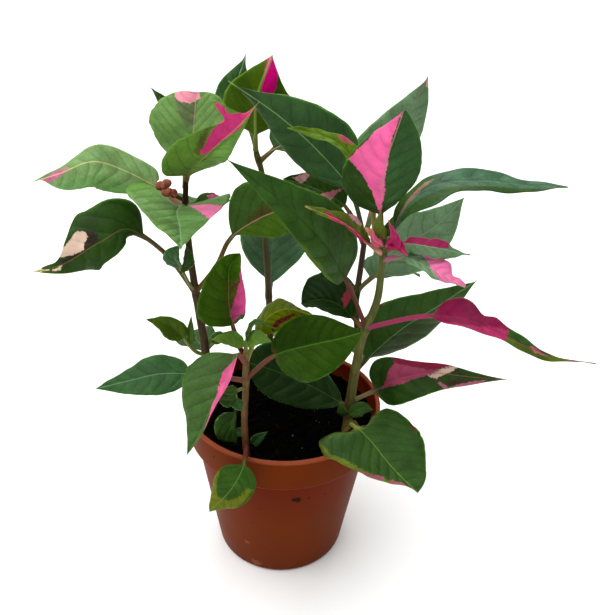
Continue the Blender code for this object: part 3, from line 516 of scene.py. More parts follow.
# Each leaf's root is its stem and the height at which it leaves it. Its route runs from the heel of the
# blade to the tip, and its pairs are for its left and right half.
leaves = {
    "leaf_far_left": dict(
        root=("left", 201),
        route=[(-62, 4, 210.5), (-73, 1, 218), (-86, -4, 224), (-102, -4, 218), (-116, -3, 213)],
        halfWidth=(12, 10), face=(0, -4, 2), fold=(-8, -20), curl=(-6, -8), powers=(0.7, 1.0),
        rightPowers=(0.22, 1.2), flares=[(1, 0.92, 0.07, -0.24), (-1, 0.42, 0.15, 0.15)], lobe=2, veins=9,
        tone="bright", petiole="#8a5a48", midrib="#d6c694",
        blaze=[("#c86a90", (98, 0), (88, 0), (78, -18), (67, -10), (74, 7), (83, 20))],
        stain=[("#65904e", (15, 45), (50, 50), (80, 35), (85, 130), (10, 130))]),
    "leaf_left_front": dict(
        root=("left", 203), route=[(-49, -6, 204), (-46, -28, 203), (-43, -46, 201)], halfWidth=(25, 24),
        face=(0, 0, 1), fold=(13, 25), curl=(6, 8), powers=(0.46, 1.8), rightPowers=(0.25, 1.15), lobe=10,
        tone="sage", petiole="#7c8a5a", midrib="#86ab7a",
        blaze=[("#ee7aaa", (0, 17), (23, 64), (40, 88), (56, 52), (40, 45))],
        stain=[
            ("#74795c", (29, 29), (39, 47), (57, 59), (43, 35)),
            ("#55832c", (25, -107), (11, -93), (3, -88), (1, -32), (1, 1), (20, -34), (21, -72)),
            ("#6c9452", (31, -121), (27, -110), (30, -72), (26, -34), (27, -11), (54, -30), (52, -82)),
            ("#5c8444", (52, -26), (21, -6), (6, 15), (37, 40), (57, 61), (80, 22), (101, 0))]),
    "leaf_left_inner": dict(
        root=("left", 204), route=[(-43, -1, 204), (-37, 4, 203), (-27, 8, 203)], halfWidth=(5, 5),
        face=(0, -3, 2), fold=(20, 0), tone="grass", petiole="#7c8a5a",
        blaze=[("#d8609a", (36, 68), (78, 82), (102, 0), (70, -33))]),
    "leaf_left_low": dict(
        root=("left", 155), stalk=[(-60, 0, 180)],
        route=[(-68, -2, 188), (-74, -6, 193), (-85, -12, 189), (-103, -14, 178), (-121, -10, 171)],
        halfWidth=(9.5, 15.5), face=(1, -4, 2), fold=(-7, -5), curl=(-8, -14), powers=(1.4, 2.2),
        rightPowers=(0.5, 1.6), flares=[(-1, 0.42, 0.09, 0.18), (-1, 0.7, 0.12, -0.2), (1, 0.5, 0.05, 0.2)],
        wave=-2.0, tone="dark", petiole="#5d4c30", midrib="#6c5c38",
        blaze=[
            ("#d2b5a2", (46, -63), (41, -51), (41, -30), (47, -20), (48, -5), (58, -10), (70, -23),
                (70, -35), (58, -45)),
            ("#c4bc88", (102, 0), (91, -5), (82, 5), (101, 0)),
            ("#ccb498", (78, 11), (67, -1), (73, 23))],
        stain=[("#2a1c18", (41, -56), (34, -30), (36, -4), (48, 2), (67, 9), (72, -9), (59, -17),
            (48, -15))]),
    "leaf_horned": dict(
        root=("left", 216),
        route=[(-45, -5, 219), (-38, -11, 228), (-28, -18, 239), (-20, -22, 247), (-12, -24, 257)],
        halfWidth=(18, 10), face=(1, -4, 0.5), fold=(16, -12), curl=(10, -6), powers=(0.55, 1.9),
        rightPowers=(0.6, 1.9), flares=[(1, 0.77, 0.04, 0.7)], twist=60, tone="fresh", petiole="#6e5a38",
        midrib="#b8946c",
        blaze=[("#cc3476", (31, 16), (48, 31), (61, 38), (68, 41), (75, 75), (79, 71), (78, 33), (82, 20),
            (103, -4), (100, 0), (76, -8), (57, -3), (37, 1))],
        stain=[
            ("#56561f", (32, 34), (49, 49), (61, 56), (72, 60), (48, 29), (30, 13)),
            ("#73a04c", (5, -2), (41, -19), (72, -18), (78, -36), (54, -110), (21, -113), (3, -39))]),
    "leaf_round_back": dict(
        root=("left", 217), route=[(-45, 3, 223), (-43, 8, 238), (-42, 15, 251.5)], halfWidth=(20, 18),
        face=(-1, -4, 1), fold=(15, 20), curl=(-8, -8), powers=(0.5, 0.4), tone="sage", petiole="#7c8a4a",
        midrib="#b08c78",
        blaze=[("#e695a4", (91, 50), (102, 38), (102, -10), (89, -14), (83, 13), (84, 35))],
        stain=[("#5e6c44", (84, 46), (85, -8), (55, -3), (45, 14), (66, 35))]),
    "leaf_left_spike": dict(
        root=("left", 212), route=[(-49, 12, 226), (-53, 20, 238), (-65, 26, 251)], halfWidth=(7, 7),
        face=(-1, 0, 2), fold=(15, 15), powers=(0.7, 1.6), tone="dark", petiole="#5d6a3a"),
    "leaf_crown_back": dict(
        root=("middle", 216), route=[(-19, 30, 232), (-26, 36, 245), (-21, 36, 265)], halfWidth=(12, 13),
        face=(-1, -4, 1), fold=(2, 0), powers=(0.6, 1.5), quilt=0.8, tone="deep", petiole="#5d6a3a",
        midrib="#9ab890"),
    "leaf_crown": dict(
        root=("middle", 222), route=[(-16, 22, 231), (-15, 14, 249), (-8, 12, 269)], halfWidth=(20, 16),
        face=(0, 4, 1), fold=(18, 15), curl=(10, 10), powers=(0.66, 1.3), tone="fresh", under="#436100",
        petiole="#6f7a34", young=True,
        blaze=[("#e6008a", (101, -5), (90, 15), (75, 37), (57, 36), (56, 9), (86, -6))]),
    "leaf_top_centre": dict(
        root=("back", 183), route=[(29, 10, 210), (14, 6, 228), (-4, 0, 245), (-26, -6, 261)],
        halfWidth=(15, 18), face=(-2, -3, 1.5), fold=(-20, -8), curl=(-10, -10), powers=(0.78, 1.7),
        tone="deep", petiole="#3f4a24", midrib="#86b068"),
    "leaf_centre": dict(
        root=("right", 147), route=[(27, -22, 178), (17, -28, 197), (-3, -34, 219), (-25, -36, 237)],
        halfWidth=(12, 16), face=(1.3, -3.2, 2), fold=(15, 8), curl=(6, 10), powers=(0.54, 1.4), tone="moss",
        # Its dark midrib tint is painted shade, the shade in the midrib's groove
        petiole="#5a3326", midrib="#274216",
        blaze=[("#8c3048", (34, 118), (30, 97), (19, 105), (23, 127))],
        stain=[
            ("#4c6a1e", (0, 72), (30, 84), (60, 72), (62, 140), (0, 140)),
            ("#47641a", (92, 16), (78, 40), (57, 88), (34, 117), (36, 141), (61, 117), (82, 52))]),
    "leaf_behind_centre": dict(
        root=("back", 179), route=[(28, 18, 198), (13, 20, 206), (-3, 24, 209)], halfWidth=(10, 10),
        face=(0, -2, 2), fold=(14, 14), tone="dark", petiole="#6a4a34",
        blaze=[
            ("#a87878", (85, -16), (62, -76), (70, 1)),
            ("#a86070", (44, 48), (15, -74), (23, 32))]),
    "leaf_left_partner": dict(
        root=("left", 156), stalk=[(-34, 1, 172)],
        route=[(-26, 0, 188), (-16, 2, 195), (-7, 4, 199), (14, 6, 201)], halfWidth=(19, 13),
        face=(0.5, -4, 1), fold=(10, -10), curl=(6, -8), powers=(1.3, 2.4), rightPowers=(1.2, 1.0),
        tone="grass", petiole="#5f4a2c", midrib="#d79c92", young=True,
        stain=[
            ("#4e721e", (0, -3), (100, -2), (100, -130), (0, -130)),
            ("#4c4a22", (20, 0), (60, 0), (60, 12), (45, 30), (25, 15))]),
    "leaf_teal": dict(
        root=("middle", 146), route=[(-8, 24, 151), (-8, 30, 161), (-7, 42, 188)], halfWidth=(18, 19),
        face=(0.7, -3.5, 1.7), fold=(10, 6), powers=(1.0, 0.7), tone="teal", petiole="#5a6a3c",
        midrib="#5f8a66"),
    "leaf_front_upright": dict(
        root=("front", 140), stalk=[(-22, -30.5, 148)],
        route=[(-24, -30, 157), (-25, -36, 178), (-23, -36, 192), (-20, -34, 195)], halfWidth=(16, 11),
        face=(0.6, -4, 1), fold=(25, 48), curl=(8, 8), powers=(0.75, 1.0), rightPowers=(0.8, 0.8),
        tone="moss", upper="#2f4f0a", petiole="#6a2226", midrib="#5f7f3c", young=True,
        blaze=[("#b43c72", (95, -41), (94, -85), (61, -139), (36, -83), (0, -9), (15, 6), (52, -42),
            (75, -64))],
        stain=[("#4c4418", (63, 9), (78, -62), (51, -62), (13, 0), (33, 10))]),
    "leaf_front_lit": dict(
        root=("front", 139), route=[(-13, -26, 149), (-8, -22, 157), (-1, -20, 160), (13, -18, 156)],
        halfWidth=(11, 10), face=(0, -0.5, 4), fold=(-7, -30), curl=(-10, -12), powers=(0.73, 0.9),
        tone="yellow", petiole="#9aa04a", young=True,
        blaze=[("#4a0c14", (15, -49), (28, -50), (56, -41), (81, -9), (101, -16), (80, -22), (60, -51),
            (39, -69), (17, -61))]),
    "leaf_front_heart": dict(
        root=("front", 129), route=[(-4, -38, 146), (13, -44, 156), (26, -46, 161), (34, -46, 164)],
        halfWidth=(14, 16), face=(0, -3, 2.5), fold=(0, 0), curl=(-5, -8), powers=(0.6, 0.95), lobe=2,
        tone="dark", petiole="#6a3c34", midrib="#4a6e2c", young=True,
        stain=[("#1a3208", (-10, 2), (100, 2), (100, 140), (-10, 140))]),
    "leaf_low_shaded": dict(
        root=("right", 97), route=[(31, -11, 99), (14, -8, 108), (-5, -8, 117), (-18, -10, 123)],
        halfWidth=(17, 18), face=(0, -2.2, 3.3), fold=(12, -10), curl=(5, -5), powers=(0.7, 0.45),
        tone="shade", petiole="#5a4a2a"),
    "leaf_low_heart": dict(
        root=("right", 88), stalk=[(36.5, -22, 93)],
        route=[(39, -29, 96), (44.7, -37, 94.5), (50, -44.5, 91.5), (56.5, -51.5, 87.5), (65.2, -59, 82.7)],
        halfWidth=(26, 25.5), face=(0.5, -1, 4), fold=(6, 4), curl=(-8, -10), powers=(0.25, 0.5),
        rightPowers=(0.3, 1.6), lobe=8, tone="moss", petiole="#8a9a4a", midrib="#7f9440",
        blaze=[
            ("#98505f", (46, -62), (54, -46), (60, -34), (64, -28), (66, -45), (60, -80), (46, -100)),
            ("#98505f", (71, -20), (80, -11), (90, -4), (90, -30), (71, -45)),
            ("#7a2028", (23, 106), (27, 111), (36, 99), (44, 86), (29, 93))],
        stain=[("#66701f", (0, -86), (15, -90), (36, -70), (62, -32), (93, -2), (100, -40), (50, -130),
            (0, -130))]),
    "leaf_right_low": dict(
        root=("right", 101),
        route=[(48, -6, 104), (60, -10, 115), (75, -12, 120), (94, -16, 121), (114, -18, 121)],
        halfWidth=(11, 13), face=(0, -3.4, 2.1), fold=(35, 15), curl=(8, -6), powers=(0.42, 1.5),
        flares=[(1, 0.2, 0.09, 0.5), (1, 0.44, 0.12, -0.15)], tone="dark", petiole="#7a6a48",
        midrib="#a06468",
        blaze=[
            ("#86183a", (25, 199), (31, 160), (40, 131), (52, 115), (59, 88), (58, 43), (50, 26), (43, 23),
                (35, 50), (29, 71), (25, 96)),
            ("#a24260", (25, 98), (29, 71), (35, 50), (43, 23), (50, 26), (50, 13), (43, -11), (25, -22),
                (4, -11), (14, 24)),
            ("#cdb0a0", (43, -11), (50, 13), (56, 36), (64, 77), (66, 62), (59, 17), (53, -11), (48, -24)),
            ("#a05a6c", (48, -24), (59, -51), (75, -16), (84, -8), (68, -58), (57, -71))],
        stain=[
            ("#2c1a14", (58, 27), (63, 50), (66, 41), (61, 12)),
            ("#352a1c", (55, -30), (67, -13), (74, -20), (60, -46))]),
    "leaf_front_left": dict(
        root=("front", 138),
        route=[(-22, -42, 148), (-26, -52, 141), (-31, -58, 133), (-36, -62, 121), (-43, -62, 107)],
        halfWidth=(9, 19), face=(-0.5, -3.4, 2), fold=(68, -8), curl=(6, -12), powers=(0.46, 1.25),
        tone="grass", petiole="#7a4a3a", midrib="#6c8c44",
        blaze=[("#d4548c", (8, 4), (16, -13), (22, -13), (28, -7), (36, -2), (43, 10), (50, 40), (64, 62),
            (80, 45), (92, 15), (92, 70), (62, 140), (8, 140))]),
    "leaf_left_lowest": dict(
        root=("front", 128), route=[(-44, -34, 132), (-58, -36, 133), (-72, -36, 129), (-90, -34, 122)],
        halfWidth=(10, 10), face=(0, -2.5, 3), fold=(4, -6), curl=(-6, -8), powers=(0.55, 1.3), tone="slate",
        petiole="#7a4a3a", midrib="#5e8a58"),
    "leaf_right_high": dict(
        root=("right", 188),
        route=[(47.5, -15.5, 197), (51, -17, 211), (60, -16, 219.5), (85, -10, 222), (109, -6, 219),
            (128, -4, 218)], halfWidth=(8, 8), face=(0, -0.4, 4), fold=(12, -6), curl=(8, -6),
        powers=(1.0, 0.9), flares=[(-1, 0.28, 0.12, 0.7)], tone="teal", upper="#3d6044", petiole="#8c5f48",
        midrib="#56744c",
        blaze=[("#906a5c", (5, -2), (15, 0), (25, 30), (36, 58), (33, 30), (23, 0), (14, -20))],
        stain=[
            ("#34520f", (-10, 3), (15, 3), (25, 36), (36, 64), (20, 130), (-10, 130)),
            ("#2c4a12", (10, -30), (35, -62), (70, -55), (97, -10), (97, -130), (5, -130))]),
    "leaf_right_back": dict(
        root=("back", 153), route=[(47, 12, 165), (59, 14, 179), (73, 15, 189), (86, 14, 206)],
        halfWidth=(15, 16), face=(0.5, -3.7, 1.4), fold=(11, 3), powers=(0.75, 1.3), tone="frosted",
        petiole="#5a5a34", midrib="#7ba272"),
    "leaf_right_curled": dict(
        root=("right", 191), route=[(53, -20, 195), (64, -25, 196), (82, -24, 192)], halfWidth=(4.5, 5.5),
        face=(0, -1.4, 3.8), fold=(20, -10), curl=(12, -8), tone="frosted", petiole="#a04058",
        blaze=[("#a02458", (-10, -5), (50, -5), (66, 20), (66, 140), (-10, 140))]),
    "leaf_right_folded": dict(
        root=("right", 186), route=[(52, -23, 190), (63, -32, 189), (77, -42, 185)], halfWidth=(9, 9),
        face=(0, -0.5, 4), fold=(4, 14), curl=(4, 10), powers=(0.8, 0.8), flares=[(1, 0.76, 0.09, -0.35)],
        tone="frosted", petiole="#a8607a",
        blaze=[("#d8689a", (17, 77), (57, 163), (66, 155), (103, 0), (71, -86), (43, 12))]),
    "leaf_right_middle": dict(
        root=("back", 102), route=[(45, 7, 116), (61, 10, 132), (81, 12, 147), (99, 14, 161)],
        halfWidth=(18, 16), face=(1, -4, 1), fold=(-10, -20), curl=(-6, -8), powers=(0.4, 1.3),
        rightPowers=(0.9, 1.3), tone="moss", petiole="#5a5a34", midrib="#6f9a60",
        stain=[
            ("#2c4212", (-5, -3), (60, -2), (75, -130), (-5, -130)),
            ("#4a2820", (0, 90), (50, 93), (50, 140), (0, 140))]),
    "leaf_right_long": dict(
        root=("right", 147),
        route=[(67, -32, 165), (77, -40, 169), (94, -46, 165), (112, -50, 158), (140, -48, 151)],
        halfWidth=(9, 6.5), face=(0, -0.8, 4), fold=(24, 6), curl=(8, 6), powers=(0.5, 3.0),
        rightPowers=(0.45, 1.2), flares=[(1, 0.18, 0.07, 0.1), (1, 0.29, 0.04, -0.2), (1, 0.36, 0.04, 0.1)],
        tone="moss", petiole="#983458", midrib="#8c2c56",
        blaze=[
            ("#7c0e3e", (0, -84), (3, 89), (14, 128), (27, 106), (43, 71), (44, 34), (34, 14), (24, -68),
                (12, -75)),
            ("#9c2454", (0, -84), (12, -75), (24, -68), (34, 14), (44, 29), (44, -52), (36, -188),
                (25, -156), (12, -129)),
            ("#a8586a", (58, 9), (64, 11), (68, -22), (61, -34)),
            ("#98506a", (78, -14), (87, -20), (101, -6), (89, -50))],
        stain=[("#4c5c12", (42, -3), (90, -2), (95, -130), (42, -130))]),
    "leaf_top_right": dict(
        root=("back", 186), route=[(43, 14, 200), (49, 17, 227), (55, 18, 243), (62, 18, 261)],
        halfWidth=(19, 13), face=(0.7, -3.9, 0.6), fold=(-10, -15), curl=(-8, -6), powers=(0.6, 1.5),
        rightPowers=(1.0, 1.05), quilt=0.95, veins=8, tone="frosted", petiole="#5a6a3c", midrib="#8a7a5c",
        blaze=[("#dca0a4", (99, 1), (103, 0), (92, -37), (93, -9))]),
    "leaf_pink_peak": dict(
        root=("right", 191), stalk=[(43, -15, 198)],
        route=[(41, -20, 209), (40, -27, 233), (43, -30, 249), (45, -30, 257)], halfWidth=(18, 15),
        face=(-0.4, -4, 1), fold=(-12, -10), powers=(0.6, 1.3), rightPowers=(0.8, 0.8), quilt=0.75,
        tone="dark", petiole="#9a5a52", midrib="#a08c70",
        blaze=[("#e36099", (101, 0), (86, 29), (67, 55), (47, 88), (38, 53), (24, 23), (2, 2), (25, -10),
            (56, -3), (76, 4), (91, 3))],
        stain=[("#2f5426", (15, -6), (100, -3), (100, -130), (15, -130))]),
    "leaf_centre_strip": dict(
        root=("right", 187), stalk=[(40, -12, 198)], route=[(37, -13, 215), (20, -8, 237), (-1, -10, 243)],
        halfWidth=(8.5, 6), face=(0, -1, 4), fold=(15, 15), curl=(8, 8), tone="grass", upper="#4e6a14",
        under="#647e0c", petiole="#8a7a44", young=True,
        blaze=[("#a04a58", (57, -69), (47, -119), (44, -80), (53, -29))]),
    "leaf_crown_left": dict(
        root=("right", 189), route=[(37, -22, 195), (25, -28, 207), (7, -34, 217)], halfWidth=(5, 5),
        face=(0, -2, 3), fold=(30, 30), curl=(10, 10), powers=(0.6, 1.2), tone="olive", petiole="#c88a78",
        midrib="#d8c47c",
        blaze=[
            ("#c8206a", (74, -23), (57, -9), (24, -4), (0, 18), (9, 118), (43, 207), (64, 125)),
            ("#c08a90", (52, -113), (45, -108), (23, -124), (28, -68), (44, -56))]),
    "leaf_below_centre": dict(
        root=("right", 146), route=[(33, -11, 151), (27, -8, 156), (19, -4, 157), (8, 0, 153)],
        halfWidth=(13, 15), face=(0, -1.6, 3.6), fold=(26, 45), curl=(6, 8), powers=(0.75, 0.75),
        tone="shade", petiole="#6a4a2c",
        blaze=[("#8a3040", (34, -86), (25, -72), (21, -1), (31, -19))]),
    "leaf_over_rim": dict(
        root=("front", 88), stalk=[(-17.5, -47, 96.5)],
        route=[(-18, -55, 95), (-23, -59, 85), (-34.5, -60, 70)], halfWidth=(10, 10), face=(0.4, -3, 2.6),
        fold=(-5, 3), curl=(-6, -8), powers=(0.6, 1.1), tone="moss", petiole="#5a2a22", midrib="#64843c",
        young=True,
        stain=[("#68701c", (23, -134), (23, -99), (42, -77), (63, -53), (69, -16), (61, 21), (44, 52),
            (29, 63), (29, 85), (64, 83), (100, 12), (84, -53), (47, -112))]),
    "leaf_back_left": dict(
        root=("left", 188), route=[(-46, 10, 192), (-45, 26, 195), (-43, 48, 186)], halfWidth=(12, 12),
        face=(0, 0, 1), fold=(12, 12), tone="grass", petiole="#7c5a44", midrib="#a9c07c"),
    "leaf_back_low": dict(
        root=("middle", 108), route=[(-4, 28, 114), (2, 42, 117), (9, 62, 106)], halfWidth=(14, 14),
        face=(0, 0, 1), fold=(10, 10), tone="fresh", petiole="#6f6a3c"),
    "leaf_back_middle": dict(
        root=("middle", 217), route=[(-7, 30, 222), (5, 37, 226), (22, 44, 218)], halfWidth=(13, 13),
        face=(0, -1, 3), fold=(10, 10), tone="moss", petiole="#6a5a34", midrib="#cfa08c"),
    "leaf_back_right": dict(
        root=("back", 152), route=[(45, 24, 156), (58, 36, 158), (76, 46, 146)], halfWidth=(13, 13),
        face=(0, 0, 1), fold=(10, 10), tone="deep", petiole="#7a5044"),
    "leaf_back_high": dict(
        root=("back", 184), route=[(42, 22, 194), (48, 34, 203), (58, 50, 206)], halfWidth=(12, 12),
        face=(0, -1, 2), fold=(10, 10), tone="bright", petiole="#8a6048", midrib="#d3b48c"),
    "leaf_back_lowest": dict(
        root=("left", 108), route=[(-44, 17, 112), (-52, 30, 114), (-62, 46, 104)], halfWidth=(12, 12),
        face=(0, 0, 1), fold=(10, 10), tone="moss", petiole="#7a5a40"),
    "leaf_back_foot": dict(
        root=("back", 98), route=[(44, 25, 104), (47, 40, 106), (52, 60, 96)], halfWidth=(13, 13),
        face=(0, 0, 1), fold=(10, 10), tone="grass", petiole="#6a6a3c"),
}
sprigs = {
    "sprig_left": dict(
        root=("left", 157), stalk=[(-47, -1, 162), (-49, -5, 170)], stalkRadius=0.8, tint="#6f7a3c",
        leaves=[
            dict(route=[(-50.7, -6, 173.6), (-52.5, -9, 181), (-49.4, -10, 187.5)], halfWidth=(6, 4),
                 face=(-1, -3, 1), tone="slate"),
            dict(route=[(-49, -5, 171), (-47, -7, 177), (-47, -7, 186)], halfWidth=4, face=(2, -2, 0),
                 tone="moss")]),
    "sprig_left_low": dict(
        root=("left", 117), stalk=[(-46, 2, 121), (-51, -2, 131)], stalkRadius=1.1, tint="#6f7a3c",
        young=True, leaves=[
            dict(route=[(-51.3, -2.4, 132), (-59, -5, 142), (-69, -6, 145)], halfWidth=6.5,
                 face=(-1, -3, 1), tone="moss", upper="#3c5410"),
            dict(route=[(-48.5, -0.2, 127), (-48, -2, 134), (-47, -3, 146)], halfWidth=2.2, face=(0, -3, 0),
                 tone="grass")]),
    "sprig_left_inner": dict(
        root=("left", 119), stalk=[(-38, 9, 122)], stalkRadius=0.8, tint="#6f7a3c", leaves=[
            dict(route=[(-38, 9, 122), (-35, 11, 125), (-30, 13, 124)], halfWidth=3.5, face=(0, -2, 2),
                 tone="grass")]),
    "sprig_front_top": dict(
        root=("front", 145), stalk=[(-18, -33, 150)], stalkRadius=1.1, tint="#6f7a3c", leaves=[
            dict(route=[(-18.5, -33.5, 149.5), (-27, -38, 154), (-33, -40, 155)], halfWidth=4.5,
                 face=(0, -2, 3), tone="fresh"),
            dict(route=[(-17.5, -33.5, 149), (-12, -35, 153), (-6, -36, 152)], halfWidth=4.5,
                 face=(0, -2, 3), tone="fresh"),
            dict(route=[(-18, -32.5, 150), (-14, -30, 158), (-4, -28, 154)], halfWidth=2.5, face=(0, 0, 3),
                 tone="grass")]),
    "sprig_front_node": dict(
        root=("front", 124), stalk=[(-22.5, -36.5, 124.5)], stalkRadius=0.9, tint="#6f7a3c", leaves=[
            dict(route=[(-22, -36.3, 124.5), (-25, -40, 127), (-30, -43, 128)], halfWidth=2.5,
                 face=(0, -2, 2), tone="grass"),
            dict(route=[(-22.7, -36.6, 119), (-26.7, -39, 121), (-30.5, -40, 122)], halfWidth=3.6,
                 face=(0, -3, 1), powers=(0.5, 0.6), tone="moss"),
            dict(route=[(-22.4, -36.4, 120), (-21.6, -37.4, 117), (-19.6, -38, 113.6)], halfWidth=3,
                 face=(0, -3, 1), tone="slate")]),
    "sprig_right_foot": dict(
        root=("right", 95), stalk=[(34, -17, 96.5)], stalkRadius=1.0, tint="#4c5226", leaves=[
            dict(route=[(34.5, -17, 96.5), (41, -16, 100), (47, -14, 97.5)], halfWidth=4, face=(0, -3, 2),
                 tone="moss"),
            dict(route=[(33.7, -17, 96), (31, -18, 99), (29, -18, 105)], halfWidth=3, face=(-1, -3, 0),
                 tone="moss"),
            dict(route=[(35.2, -17, 93), (33.5, -20, 90.4), (30.8, -22, 88)], halfWidth=2, face=(0, -2, 2),
                 tone="olive", upper="#5a4020"),
            dict(route=[(36, -17.5, 93), (38.6, -21, 90.6), (40.6, -23, 89)], halfWidth=2, face=(0, -2, 2),
                 tone="olive", upper="#604626")]),
    "sprig_crown": dict(
        root=("right", 193), stalk=[(43.5, -20.5, 199)], stalkRadius=1.3, tint="#5a5a2c", leaves=[
            dict(route=[(42.3, -21, 196.5), (38, -24, 201), (33, -25, 205)], halfWidth=2.6, face=(1, -3, 1),
                 tone="olive", upper="#c88468", midrib="#d8a878"),
            dict(route=[(42.5, -22, 195), (38, -26, 199.5), (36.5, -28, 206)], halfWidth=2.2,
                 face=(1, -3, 0), tone="olive", upper="#c04c70", midrib="#d89878"),
            dict(route=[(43, -22, 199), (40, -24, 204), (39.8, -25, 212)], halfWidth=3, face=(0, -3, 1),
                 tone="olive"),
            dict(route=[(44, -20.5, 199), (45, -22, 203.5), (46, -22, 209)], halfWidth=2.5,
                 face=(-1, -2, 0), tone="moss"),
            dict(route=[(44.5, -21.5, 194), (47.6, -27, 200.5), (43, -29, 210)], halfWidth=(3, 3.6),
                 face=(-1, -3, 0), fold=(30, 40), tone="olive", upper="#b02460", under="#982058",
                 midrib="#c85080"),
            dict(route=[(44.5, -21.5, 197), (49, -26, 197), (53, -30, 193.5)], halfWidth=3, face=(0, -3, 1),
                 tone="olive", upper="#a01c50", midrib="#b83868")]),
}
seedlings = {
    "seedling_left": dict(
        stalk=[(-24, -24, 76), (-24.5, -24, 90), (-24, -25, 103)], stalkRadius=0.9, tint="#34401a", leaves=[
            dict(route=[(-24.1, -26, 103.5), (-25.9, -30, 98), (-23.5, -31, 89)], halfWidth=(2.4, 8.5),
                 face=(0, -3, 1), powers=(0.6, 0.7), tone="moss"),
            dict(route=[(-24.4, -25, 92), (-21.5, -27, 91), (-18, -29, 91.5)], halfWidth=2.4,
                 face=(0, -2, 3), tone="slate")]),
    "seedling_middle": dict(
        stalk=[(-16.5, -23, 74), (-16.4, -23.6, 80)], stalkRadius=0.8, tint="#34401a", leaves=[
            dict(route=[(-16.2, -24, 80.6), (-12.7, -25, 86), (-7.6, -25, 91)], halfWidth=3,
                 face=(0, -2, 2), tone="slate"),
            dict(route=[(-16.8, -24, 80.8), (-17.3, -26, 79), (-17.2, -27, 75.5)], halfWidth=1.8,
                 face=(0, -2, 2), tone="slate")]),
}


# Materials. Each is one that the real plant and pot have, and every pattern's size is in millimetres.

skinLooks = {
    "patterns": ((10, 3.0), (1.3, 2.0)), "areas": 2.4,  # areas that the finest veins shut in
    "ior": 1.45, "specular": 0.12, "subsurface": (0.3, (0.6, 1.0, 0.3), 0.6),
    # the vein factor above is painted shade, darkening the sunken side veins; below it is the veins' own
    # paler colour
    "upper": {"veinShadeAndTint": -0.24, "ribWidth": (0.1, 0.36), "veinRelief": -1.0, "roughness": (0.36, 0.5)},
    "under": {"veinShadeAndTint": 0.3, "ribWidth": (0.3, 0.75), "veinRelief": 1.2, "roughness": (0.52, 0.66)},
}


